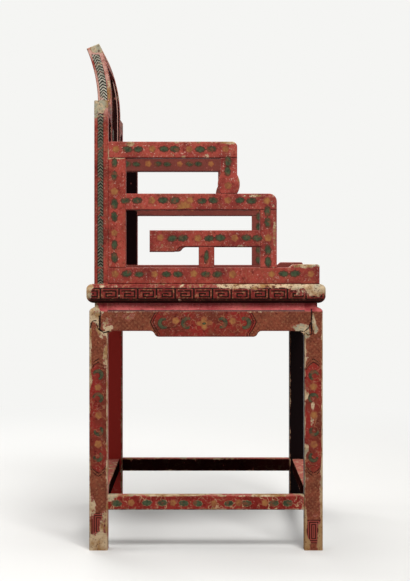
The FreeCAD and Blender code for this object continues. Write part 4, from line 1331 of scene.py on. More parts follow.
@dataclass
class MotifStock:
    """The figures of the ornament, each modelled once at its real size and copied from here.

    Attributes:
        leaf_points: How many points a leaf's waved rim has, in and out.
        leaf_long: A leaf's length.
        leaf_wide: Its width.
        wave_shares: How far out the inner points of its rim lie, along it and across it.
        small_flower: The blossom of the rows.
        cross_flower: The four-petalled flower in an apron's middle.
        half_flower: The half flower that grows from a rail's lower edge.
        crescent_wide: The width of a curled leaf.
        crescent_points: How many points the circle has that it is cut from.
        crescent_shares: The sizes of its middle line and of its inner rim, each of the line outside it.
        crescent_aside_share: How far each of these lies off the line outside it, of the leaf's half width.
        crescent_open_share: Where the leaf is cut open, of its half width.
        crescent_heart_share: How far its heart lies about the middle line, of its half width.
        long_leaf: The length of the leaf on a strut.
        long_leaf_share: Its width, of another leaf's.
        heart_share: The radius of a leaf's or a flower's heart, of its width.
        proud: How far the paint stands above the lacquer.
        depth: How far a figure's body goes into it.
        stock: The figures made so far.
    """

    leaf_points: int = 16
    leaf_long: float = 0.0222
    leaf_wide: float = 0.0142
    wave_shares: tuple[float, float] = (0.86, 0.82)
    small_flower: Flower = Flower(0.0152, 5)
    cross_flower: Flower = Flower(0.034, 4, notch=0.5, tall=0.8)
    half_flower: Flower = Flower(0.033, 10, half=True)
    crescent_wide: float = 0.024
    crescent_points: int = 24
    crescent_shares: tuple[float, float] = (0.78, 0.6)
    crescent_aside_share: float = 0.11
    crescent_open_share: float = 0.62
    crescent_heart_share: float = 0.05
    long_leaf: float = 0.030
    long_leaf_share: float = 0.8
    heart_share: float = 0.1
    proud: float = 0.00022
    depth: float = 0.0008
    stock: dict[Motif, bpy.types.Object] = field(default_factory=dict)

    def build(self) -> None:
        """Models every figure and gives it its paint."""
        leaf = (self.leaf_long, self.leaf_wide)
        long_leaf = (self.long_leaf, self.leaf_wide * self.long_leaf_share)
        green = Paint("leaf_paint", PALETTE.leaf, PALETTE.leaf_dark, PALETTE.rubbed_leaf, 0.4, 0.4).material()
        lined = Paint("lined_leaf_paint", PALETTE.leaf, PALETTE.leaf_dark, PALETTE.cream, 0.13).material()
        curl = Paint("curl_paint", PALETTE.curl, PALETTE.curl_dark, PALETTE.leaf_rim).material()
        ochre = Paint("blossom_paint", PALETTE.ochre, PALETTE.ochre_dark, PALETTE.ochre_rim).material()
        figures = {
            Motif.LEAF: (self.leaf("leaf_figure", *leaf), green),
            Motif.LONG_LEAF: (self.leaf("long_leaf_figure", *long_leaf), green),
            Motif.PALE_LEAF: (self.leaf("pale_leaf_figure", *leaf), lined),
            Motif.CRESCENT: (self.crescent(), curl),
            Motif.BLOSSOM: (self.blossom("blossom_figure", self.small_flower), ochre),
            Motif.QUATREFOIL: (self.blossom("quatrefoil_figure", self.cross_flower), ochre),
            Motif.FAN: (self.blossom("fan_figure", self.half_flower), ochre),
        }
        for motif, (figure, paint) in figures.items():
            figure.data.materials.append(paint)
            self.stock[motif] = figure

    def leaf(self, name: str, long: float, wide: float) -> bpy.types.Object:
        """A leaf with a waved rim, lying along X.

        Args:
            name: The figure's name.
            long: Its length.
            wide: Its width.

        Returns:
            The figure.
        """
        heart = wide * self.heart_share

        def wave(place: Vector) -> bool:
            """Whether a vertex is one of every other one round the rim, but for the two tips."""
            turn = math.atan2(place.y / wide, place.x / long) / (2 * math.pi) * self.leaf_points
            return place.length > heart and round(turn) % 2 == 1

        figure = Bench.circle(name, self.leaf_points, long / 2)
        bpy.ops.transform.resize(value=(1.0, wide / long, 1.0))
        Bench.choose(figure, wave)
        bpy.ops.transform.resize(value=(*self.wave_shares, 1.0))
        return Bench.thicken(figure, self.depth, lambda place: place.xy.length < heart)

    def blossom(self, name: str, flower: Flower) -> bpy.types.Object:
        """A blossom with notched petals, the first of them towards +X.

        Args:
            name: The figure's name.
            flower: Its outline.

        Returns:
            The figure.
        """
        figure = Bench.circle(name, flower.petals * 4, flower.wide / 2)
        step = 2 * math.pi / flower.petals
        shoulder = (2 + flower.notch) / 3
        for share, reach in ((1 / 4, shoulder), (1 / 2, flower.notch)):

            def off_tip(place: Vector) -> bool:
                """Whether a vertex of the rim lies that share of a petal away from a tip."""
                turn = math.atan2(place.y, place.x) / step % 1
                return place.length > flower.wide / 8 and abs(min(turn, 1 - turn) - share) < 1 / 8

            Bench.choose(figure, off_tip)
            bpy.ops.transform.resize(value=(reach, reach, 1.0))
        bpy.ops.mesh.select_all(action="SELECT")
        bpy.ops.transform.resize(value=(1.0, flower.tall, 1.0))
        if flower.half:
            Bench.choose(figure, lambda place: place.y < -self.proud)
            bpy.ops.mesh.delete(type="VERT")
        heart = flower.wide * self.heart_share
        return Bench.thicken(figure, self.depth, lambda place: place.xy.length < heart)

    def crescent(self) -> bpy.types.Object:
        """A curled leaf, open towards +X, broad in its middle and thin at its tips.

        Returns:
            The figure.
        """
        outer = self.crescent_wide / 2
        aside = outer * self.crescent_aside_share
        reach = outer * self.crescent_heart_share
        centre = Vector((aside, 0.0))
        line = outer * self.crescent_shares[0]
        figure = Bench.circle("crescent_figure", self.crescent_points, outer, "NOTHING")
        for share in self.crescent_shares:
            bpy.ops.mesh.extrude_region_move()
            bpy.ops.transform.resize(value=(share, share, 1.0))
            bpy.ops.transform.translate(value=(aside, 0.0, 0.0))
        Bench.choose(figure, lambda place: place.x > outer * self.crescent_open_share)
        bpy.ops.mesh.delete(type="VERT")
        return Bench.thicken(figure, self.depth, lambda place: abs((place.xy - centre).length - line) < reach)

    def copy(self, motif: Motif, place: Matrix) -> bpy.types.Object:
        """A copy of a figure, with a mesh of its own that holds its place.

        Args:
            motif: The figure.
            place: Where it lies.

        Returns:
            The copy.
        """
        figure = self.stock[motif].copy()
        figure.data = self.stock[motif].data.copy()
        figure.data.transform(place)
        bpy.context.collection.objects.link(figure)
        return figure

    def put_away(self) -> None:
        """Removes the stock once everything is copied from it."""
        for figure in self.stock.values():
            bpy.data.objects.remove(figure, do_unlink=True)
        self.stock.clear()


@dataclass(frozen=True)
class Face:
    """A flat of a member that takes ornament: its distance from the chair's middle along an axis.

    Attributes:
        axis: The axis that the face looks along.
        level: Where it crosses that axis.
        outward: 1 if it looks towards the axis's end, -1 if towards its start.
        lean: How far a face that looks along Y leans up.
    """

    axis: Axis
    level: float
    outward: int
    lean: float = 0.0

    def frame(self) -> tuple[Vector, Vector, Vector]:
        """The face's right, its up and its outward normal.

        Returns:
            Three unit vectors.
        """
        normal = Vector((0.0, 0.0, 0.0))
        normal[self.axis.value] = float(self.outward)
        up = Vector((0.0, 1.0, 0.0)) if self.axis is Axis.Z else Vector((0.0, 0.0, 1.0))
        tilt = Matrix.Rotation(self.lean * self.outward, 3, "X")
        normal, up = tilt @ normal, tilt @ up
        return up.cross(normal), up, normal

    def place(self, spot: Vector, turn: float, size: float, proud: float) -> Matrix:
        """Where a figure lies on the face.

        Args:
            spot: The figure's middle, anywhere along the face's normal.
            turn: The figure's turn on the face, from the face's right.
            size: Its scale.
            proud: How far its top stands off the face.

        Returns:
            The figure's matrix.
        """
        right, up, normal = self.frame()
        middle = spot.copy()
        middle[self.axis.value] = self.level
        middle += normal * proud
        axes = Matrix((right, up, normal)).transposed().to_4x4()
        return Matrix.Translation(middle) @ axes @ Matrix.Rotation(turn, 4, "Z") @ Matrix.Scale(size, 4)


@dataclass(frozen=True)
class Row:
    """A run of figures along a member. A blossom opens each pitch, and its two leaves follow it in line.

    Attributes:
        figures: The figures in order, by their letters.
        start: Where the first of them lies.
        pitch: The distance from one blossom to the next.
        middle: The row's place on the axis across it.
        upright: Whether it goes up and down.
    """

    figures: str
    start: float
    pitch: float
    middle: float
    upright: bool = False

    def stations(self) -> list[tuple[Motif, float]]:
        """Each figure with its place along the row.

        Returns:
            The figures, gaps among them, in order.
        """
        shares = (0.0, 0.305, 0.605)
        first = 0 if self.figures[0] in "FS_" else 1
        origin = self.start - shares[first] * self.pitch
        placed: list[tuple[Motif, float]] = []
        for slot, letter in enumerate(self.figures, first):
            cycle, place = divmod(slot, len(shares))
            placed.append((Motif(letter), origin + (cycle + shares[place]) * self.pitch))
        return placed


class Painter:
    """Lays rows of figures on the faces of a sub-assembly and joins them to one piece.

    Attributes:
        off: How far a figure may lie off its place.
        twist: How far it may be turned.
        swell: By what share it may be larger or smaller.
    """

    off = 0.0008
    twist = 0.14
    swell = 0.08

    def __init__(self, stock: MotifStock, chance: random.Random) -> None:
        """Takes the stock of figures and the source of small irregularities.

        Args:
            stock: The figures.
            chance: The source of the random draws.
        """
        self.stock = stock
        self.chance = chance
        self.copies: list[bpy.types.Object] = []

    def figure(
        self, face: Face, motif: Motif, spot: Vector, turn: float, size: float = 1.0, layer: int = 1
    ) -> None:
        """Lays one figure on a face, a little off its exact place as a brush leaves it.

        Args:
            face: The face.
            motif: The figure.
            spot: Its middle.
            turn: Its turn on the face.
            size: Its scale.
            layer: 1 on the lacquer, 2 on another figure.
        """
        sway = self.chance.uniform
        spot = spot + Vector([sway(-self.off, self.off) for _ in Axis])
        turn += sway(-self.twist, self.twist)
        size *= sway(1.0 - self.swell, 1.0 + self.swell)
        place = face.place(spot, turn, size, self.stock.proud * layer)
        self.copies.append(self.stock.copy(motif, place))

    def row(self, face: Face, row: Row) -> None:
        """Lays a row of figures on an upright face.

        Args:
            face: The face.
            row: The row.
        """
        across = Axis.Y if face.axis is Axis.X else Axis.X
        for motif, station in row.stations():
            if motif is Motif.GAP:
                continue
            spot = Vector((0.0, 0.0, 0.0))
            spot[across.value] = row.middle if row.upright else station
            spot.z = station if row.upright else row.middle
            self.figure(face, motif, spot, math.pi / 2 if row.upright else 0.0)

    def piece(self, name: str) -> bpy.types.Object:
        """Joins what was laid to one piece that rides with the chair.

        Args:
            name: The piece's name.

        Returns:
            The piece.
        """
        piece = Bench.join(name, self.copies)
        self.copies = []
        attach(piece, "root")
        LOG.info("%s: %d faces", name, len(piece.data.polygons))
        return piece


class Side(Enum):
    """A side of the chair. The left is the side that the photograph shows."""

    LEFT = -1
    RIGHT = 1

    @property
    def word(self) -> str:
        """The side as it stands in the names of nodes."""
        return self.name.lower()


def both(*kinds: str) -> list[str]:
    """The names of the members of some kinds that stand in pairs, left and right."""
    return [f"{kind}_{side.word}" for kind in kinds for side in Side]


def coat(finish: Union[Lacquer, PlanedWood], nodes: Iterable[str]) -> None:
    """Gives CAD nodes one finish.

    Args:
        finish: The finish.
        nodes: The nodes' names.
    """
    material = finish.material()
    for name in nodes:
        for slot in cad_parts[name].material_slots:
            slot.material = material
        LOG.info("%s: %s", name, material.name)


@dataclass
class Arms:
    """The two stepped armrests: red lacquer with rows of blossoms and paired leaves.

    Attributes:
        outer: The distance of an arm's outer face from the chair's middle.
        inner: The distance of its inner face.
        rows: The rows of figures on each face.
        inner_row: The row on a top rail's inner face.
        fan_column: The middle of the half flower on a middle rail, in the photograph's columns.
        fan_row: Its foot, in the photograph's rows.
        upright_row: The row on a rear upright's outer face.
        spots: The patches on the arms where the gesso shows.
    """

    outer: float = 0.287
    inner: float = 0.257
    rows: tuple[Row, ...] = (
        Row("FLLFLLFLLF", depth_at(115.5), -0.0699, height_at(149)),
        Row("LLFLLFLLFLLF", depth_at(125.0), -0.0728, height_at(200.5)),
        Row("FLLFLLFLLF__FLLF", depth_at(115), -0.0745, height_at(274)),
        Row("LLF", height_at(161), -0.066, depth_at(228), upright=True),
        Row("LLFLL", height_at(211), -0.074, depth_at(268), upright=True),
        Row("FLLFLLFLL", depth_at(160.6), -0.0706, height_at(238)),
        Row("S", height_at(257), -0.07, depth_at(206), upright=True),
    )
    inner_row: Row = Row("LLFLLFLLF", 0.1770, -0.0699, height_at(149))
    fan_column: float = 184.5
    fan_row: float = 208.6
    upright_row: Row = Row("LLFLLFLL", height_at(163), -0.078, depth_at(114), upright=True)
    spots: tuple[WornSpot, ...] = (
        WornSpot(130.0, 144.0, 6.0, 3.0),
        WornSpot(228.0, 142.5, 16.0, 1.6, 0.22),
        WornSpot(233.0, 147.0, 4.0, 6.0, 0.2),
        WornSpot(258.0, 195.6, 18.0, 1.4, 0.26),
        WornSpot(273.5, 202.0, 2.4, 7.0, 0.26),
        WornSpot(200.0, 142.0, 40.0, 1.2, 0.2),
        WornSpot(173.0, 155.5, 3.0, 2.0, 0.22),
        WornSpot(181.0, 155.8, 4.5, 1.8, 0.3),
        WornSpot(207.0, 156.2, 4.0, 2.2, 0.24),
        WornSpot(239.0, 181.0, 2.0, 7.0, 0.3),
        WornSpot(275.0, 232.0, 2.2, 18.0, 0.26),
        WornSpot(160.0, 246.0, 5.0, 2.4, 0.22),
        WornSpot(241.0, 246.0, 5.5, 1.6, 0.26),
        WornSpot(309.0, 264.8, 15.0, 3.0, 0.34),
        WornSpot(293.0, 267.6, 5.5, 2.4, 0.3),
        WornSpot(107.6, 150.0, 1.2, 9.0, 0.36),
        WornSpot(114.0, 158.2, 9.0, 0.9, 0.36),
    )

    def dress(self) -> None:
        """Lacquers both arms, paler and more flecked towards the top."""
        # Painted shade: the inner faces darker, and the rear uprights' inner faces near black
        own = {"inner_faces": (self.inner,), "spots": self.spots, "lower_edge_shade": 0.75}
        dark = {"inner_colour": PALETTE.inside_dark, "inner_share": 1.0, "gloss": 0.02}
        coat(Lacquer("arm_upper_lacquer", flecks=0.85, **own), both("arm_top_rail", "arm_upper_post"))
        coat(Lacquer("arm_middle_lacquer", flecks=0.65, **own), both("arm_middle_rail", "arm_lower_post"))
        low = Lacquer("arm_lower_lacquer", first=PALETTE.low_red, **own)
        coat(low, both("arm_sill", "arm_free_rail", "arm_strut"))
        coat(Lacquer("arm_upright_lacquer", flecks=0.6, **dark, **own), both("arm_rear_upright"))

    def paint(self, painter: Painter) -> None:
        """Lays the rows on both faces of both arms, but for the inner faces of the rear uprights.

        Args:
            painter: Lays the figures.
        """
        for side in Side:
            outer = Face(Axis.X, side.value * self.outer, side.value)
            inner = Face(Axis.X, side.value * self.inner, -side.value)
            for row in self.rows:
                painter.row(outer, row)
            for row in (self.inner_row, *self.rows[1:]):
                painter.row(inner, row)
            painter.row(outer, self.upright_row)
            fan = Vector((0.0, depth_at(self.fan_column), height_at(self.fan_row)))
            painter.figure(outer, Motif.FAN, fan, 0.0, layer=2)
            painter.piece(f"arm_ornament_{side.word}")


@dataclass
class Base:
    """The legs, aprons, waist and stretchers.

    Attributes:
        leg_side: The distance of the legs' outer side faces from the chair's middle.
        leg_front: The distance of their front and rear faces.
        leg_rows: The heights of the figures up a leg, in the photograph's rows.
        panel_middle: The middle of that panel, which the curled leaves open away from.
        leg_curl: The size of those leaves.
        apron_z: The height of the middle of an apron's panel.
        apron_side: The figures on one half of a side apron, each with its distance and its height.
        apron_front: The same on the front and rear aprons.
        apron_shift: How far a side apron's panel lies off its middle.
        stretcher_side: The distance of the side stretchers' outer faces from the chair's middle.
        stretcher_front: The distance of the front and rear stretchers' outer faces.
        stretcher_figures: The figures along a side stretcher.
        stretcher_columns: Their places, in the photograph's columns.
        stretcher_size: Their size.
        stretcher_row: The row along a front or rear stretcher, at every stretcher's middle height.
        waist_seam: The height of the dark line at the foot of the waist.
        leg_bands: The stretches of the legs that are worn more: feet, shins, shoulders and arrises.
        apron_bands: The same on the aprons: their upper edge.
        stretcher_bands: The same on the stretchers: their upper and lower edges.
        leg_spots: The patches on the legs where the gesso shows.
        apron_spots: Those on the aprons.
        stretcher_spots: Those on the stretchers.
        cracks: The open cracks about the legs' shoulders.
    """

    leg_side: float = 0.295
    leg_front: float = 0.222
    leg_rows: tuple[float, ...] = (375.0, 387.0, 398.0, 415.0, 431.0, 444.0, 457.0)
    panel_middle: float = 415.0
    leg_curl: float = 0.84
    apron_z: float = 0.432
    apron_side: tuple[Placed, ...] = (
        (Motif.CRESCENT, 0.033, 0.0),
        (Motif.BLOSSOM, 0.054, 0.0045),
        (Motif.CRESCENT, 0.078, 0.0),
    )
    apron_front: tuple[Placed, ...] = (
        (Motif.CRESCENT, 0.034, 0.0),
        (Motif.BLOSSOM, 0.058, 0.0045),
        (Motif.CRESCENT, 0.084, 0.0),
        (Motif.LEAF, 0.108, 0.0),
    )
    apron_shift: float = 0.003
    stretcher_side: float = 0.291
    stretcher_front: float = 0.218
    stretcher_figures: str = "PFPPFPPFPFPFPP"
    stretcher_columns: tuple[float, ...] = (
        116.0, 131.0, 147.0, 162.0, 173.0, 184.0, 198.0, 214.0, 229.0, 239.0, 247.0, 265.0, 274.0, 288.0
    )
    stretcher_size: float = 0.96
    stretcher_row: Row = Row("PFPPFPPFPPFPPFPP", 0.180, -0.0715, 0.0895)
    waist_seam: float = 0.4564
    leg_bands: tuple[Union[WornBand, LegArris], ...] = (
        WornBand(Axis.Z, -0.05, 0.02, 0.15, 0.012),
        WornBand(Axis.Z, 0.03, 0.09, 0.06, 0.02),
        WornBand(Axis.Z, 0.40, 0.452, 0.06),
        LegArris(),
    )
    apron_bands: tuple[WornBand, ...] = (WornBand(Axis.Z, 0.4512, 0.47, 0.12, 0.0012),)
    stretcher_bands: tuple[WornBand, ...] = (
        WornBand(Axis.Z, 0.1015, 0.11, 0.2, 0.0015),
        WornBand(Axis.Z, 0.07, 0.0785, 0.24, 0.0015),
    )
    leg_spots: tuple[WornSpot, ...] = (
        WornSpot(94.5, 313.0, 7.0, 9.0, 0.46),
        WornSpot(97.6, 327.0, 2.2, 6.0, 0.32),
        WornSpot(103.0, 334.0, 4.5, 5.0, 0.42),
        WornSpot(104.6, 357.0, 2.2, 12.0, 0.38),
        WornSpot(90.2, 350.0, 1.7, 32.0, 0.32),
        WornSpot(91.5, 380.0, 1.9, 5.0, 0.34),
        WornSpot(107.2, 400.0, 0.7, 90.0, 0.17),
        WornSpot(323.4, 440.0, 1.6, 110.0, 0.28),
        WornSpot(105.0, 470.0, 3.0, 9.0, 0.3),
        WornSpot(92.5, 508.0, 3.0, 12.0, 0.26),
        WornSpot(97.0, 543.0, 10.0, 10.0, 0.42),
        WornSpot(103.0, 525.0, 4.0, 14.0, 0.26),
        WornSpot(313.2, 317.0, 1.2, 4.5, 0.44, grey=True),
        WornSpot(314.0, 323.0, 2.0, 4.5, 0.46, grey=True),
        WornSpot(315.4, 329.0, 2.9, 4.5, 0.46, grey=True),
        WornSpot(307.0, 334.0, 4.0, 4.0, 0.3, grey=True),
        WornSpot(313.0, 405.0, 2.0, 6.0, 0.3),
        WornSpot(312.0, 420.0, 2.0, 7.0, 0.3),
        WornSpot(307.0, 355.0, 2.0, 6.0, 0.26),
        WornSpot(307.0, 394.0, 2.0, 7.0, 0.28),
        WornSpot(307.0, 448.0, 2.0, 5.0, 0.28),
        WornSpot(322.0, 490.0, 3.0, 30.0, 0.3),
        WornSpot(305.8, 528.0, 1.6, 18.0, 0.3),
        WornSpot(307.4, 545.0, 3.0, 8.0, 0.36),
        WornSpot(320.4, 539.0, 3.4, 14.0, 0.38),
    )
    apron_spots: tuple[WornSpot, ...] = (
        WornSpot(101.4, 312.0, 2.0, 5.0, 0.36),
        WornSpot(106.0, 324.0, 8.0, 7.0, 0.23),
        WornSpot(122.0, 316.0, 18.0, 5.0, 0.14),
        WornSpot(110.0, 329.0, 5.0, 3.0, 0.26),
        WornSpot(301.0, 327.0, 9.0, 3.8, 0.46, grey=True),
        WornSpot(307.0, 332.0, 4.0, 3.0, 0.24),
        WornSpot(260.0, 329.5, 6.0, 1.2, 0.26),
    )
    stretcher_spots: tuple[WornSpot, ...] = (
        WornSpot(109.0, 496.5, 7.0, 5.5, 0.46, grey=True),
        WornSpot(303.0, 502.0, 3.0, 8.0, 0.3),
        WornSpot(215.0, 508.5, 22.0, 1.6, 0.2),
        WornSpot(165.0, 495.5, 40.0, 1.2, 0.2),
        WornSpot(270.0, 496.0, 20.0, 1.4, 0.2),
    )
    cracks: tuple[Crack, ...] = (
        Crack(((90.4, 327.6), (91.2, 323.4), (93.2, 320.8), (95.8, 320.6))),
        Crack(((99.2, 316.0), (99.5, 329.4))),
        Crack(((99.5, 329.6), (104.0, 332.6), (109.0, 331.4)), 0.8),
        Crack(((96.4, 323.6), (98.6, 329.4)), 0.5),
        Crack(((311.4, 309.5), (311.6, 320.0), (311.0, 324.0), (311.8, 333.5)), 0.65),
        Crack(((310.6, 322.6), (308.4, 328.4), (304.5, 331.4), (300.0, 331.0)), 0.6),
        Crack(((306.0, 333.0), (308.5, 335.0), (312.0, 334.0)), 0.5),
        Crack(((314.0, 330.0), (313.4, 335.0)), 0.5),
    )

    def dress(self) -> None:
        """Lacquers the base."""
        tones = {
            "first": PALETTE.base_red,
            "second": PALETTE.base_deep,
            "tendrils": 0.5,
            "gloss": 0.05,
            "stain": 0.8,
            "grime": 1.0,
            "flecks": 0.3,
        }
        worn = {"bands": self.leg_bands, "spots": self.leg_spots, "cracks": self.cracks}
        coat(Lacquer("leg_lacquer", Ground.LEG, rubbed=0.2, **worn, **tones), both("leg_front", "leg_rear"))
        apron = {"ground": Ground.CARTOUCHE, "bands": self.apron_bands, "lower_edge_shade": 0.8, **tones}
        worn = {"spots": self.apron_spots, "cracks": self.cracks}
        coat(Lacquer("side_apron_lacquer", along=Axis.Y, **worn, **apron), both("apron"))
        coat(Lacquer("end_apron_lacquer", along=Axis.X, **apron), ["apron_front", "apron_rear"])
        # Painted highlight: the waist pink for the light on the red moulding
        pink = {"first": PALETTE.moulding_highlight, "second": PALETTE.moulding_deep}
        waist = Lacquer("waist_lacquer", seam=self.waist_seam, tendrils=0.0, **pink)
        coat(waist, [*both("waist"), "waist_front", "waist_rear"])
        stretchers = Lacquer(
            "stretcher_lacquer",
            Ground.STRETCHER,
            PALETTE.rail_red,
            PALETTE.rail_deep,
            rubbed=0.34,
            bands=self.stretcher_bands,
            spots=self.stretcher_spots,
            tendrils=0.85,
            tendril_colour=PALETTE.cream,
            gloss=0.0,
        )
        coat(stretchers, [*both("stretcher"), "stretcher_front", "stretcher_rear"])

    def paint(self, painter: Painter) -> None:
        """Lays the ornament on the legs, the aprons and the stretchers.

        Args:
            painter: Lays the figures.
        """
        for side in Side:
            outer = Face(Axis.X, side.value * self.leg_side, side.value)
            for end in (-1, 1):
                self.leg(painter, outer, Axis.Y, end * LEG_MIDDLE_Y, end)
            self.apron(painter, outer, Axis.Y, self.apron_side, self.apron_shift)
            rail = Face(Axis.X, side.value * self.stretcher_side, side.value)
            for letter, column in zip(self.stretcher_figures, self.stretcher_columns):
                spot = Vector((0.0, depth_at(column), self.stretcher_row.middle))
                painter.figure(rail, Motif(letter), spot, 0.0, self.stretcher_size)
        for end in (-1, 1):
            outer = Face(Axis.Y, end * self.leg_front, end)
            for side in Side:
                self.leg(painter, outer, Axis.X, side.value * LEG_MIDDLE_X, side.value)
            self.apron(painter, outer, Axis.X, self.apron_front, 0.0)
            painter.row(Face(Axis.Y, end * self.stretcher_front, end), self.stretcher_row)
        painter.piece("base_ornament")

    def leg(self, painter: Painter, face: Face, axis: Axis, middle: float, way: int) -> None:
        """A leg's panel: curled leaves about a line of blossoms, up one face.

        Args:
            painter: Lays the figures.
            face: The leg's face.
            axis: The axis across the leg.
            middle: The leg's middle on that axis.
            way: Which end of the axis the leg stands at.
        """
        right = -face.frame()[0][axis.value] * way
        lean = math.pi / 2 + right * math.pi / 5
        for index, row in enumerate(self.leg_rows):
            spot = Vector((0.0, 0.0, height_at(row)))
            spot[axis.value] = middle
            motif, size = (Motif.BLOSSOM, 1.0) if index % 2 else (Motif.CRESCENT, self.leg_curl)
            painter.figure(face, motif, spot, -lean if row < self.panel_middle else lean, size)

    def apron(
        self, painter: Painter, face: Face, axis: Axis, figures: Sequence[Placed], shift: float
    ) -> None:
        """An apron's panel: curled leaves that open to the four-petalled flower in its middle.

        Args:
            painter: Lays the figures.
            face: The apron's outer face.
            axis: The axis along the apron.
            figures: The figures on one half of it, each with its distance from the middle and its height.
            shift: How far the panel lies off the apron's own middle.
        """
        centre = Vector((0.0, 0.0, self.apron_z))
        centre[axis.value] = shift
        painter.figure(face, Motif.QUATREFOIL, centre, 0.0)
        painter.figure(face, Motif.LEAF, centre, 0.0, 0.4, layer=2)
        right = face.frame()[0][axis.value]
        for motif, distance, height in figures:
            for way in (-1, 1):
                spot = centre.copy()
                spot[axis.value] += way * distance
                spot.z += height
                turn = math.pi if way * right > 0 else 0.0
                painter.figure(face, motif, spot, turn)


@dataclass
class Seat:
    """The seat's frame with its fret, the panel in it, and the battens below.

    Attributes:
        bands: Where its rails are worn more: their upper edge.
        spots: The patches on its side rail where the gesso shows.
    """

    bands: tuple[WornBand, ...] = (WornBand(Axis.Z, 0.4995, 0.52, 0.17, 0.003),)
    spots: tuple[WornSpot, ...] = (
        WornSpot(250.0, 285.5, 46.0, 4.2, 0.24),
        WornSpot(311.0, 288.5, 24.0, 7.5, 0.34),
        WornSpot(89.0, 291.0, 4.5, 9.0, 0.46),
        WornSpot(119.0, 295.8, 1.5, 1.2, 0.34),
        WornSpot(155.8, 296.4, 1.8, 1.2, 0.34),
        WornSpot(180.0, 300.0, 2.0, 1.2, 0.3),
        WornSpot(105.0, 287.0, 12.0, 2.0, 0.16),
        WornSpot(303.0, 299.5, 2.5, 1.2, 0.3),
    )

    def dress(self) -> None:
        """Lacquers the seat and leaves its battens and tenons as planed wood."""
        fret = {"ground": Ground.FRET, "bands": self.bands}
        worn = {"spots": self.spots, "gloss": 0.05, "remains": 0.85}
        coat(Lacquer("side_seat_rail_lacquer", along=Axis.Y, **fret, **worn), both("seat_rail"))
        coat(Lacquer("end_seat_rail_lacquer", along=Axis.X, **fret), ["seat_rail_front", "seat_rail_rear"])
        coat(Lacquer("seat_panel_lacquer"), ["seat_panel"])
        coat(PlanedWood(), [*both("seat_batten"), "slip_tenons"])


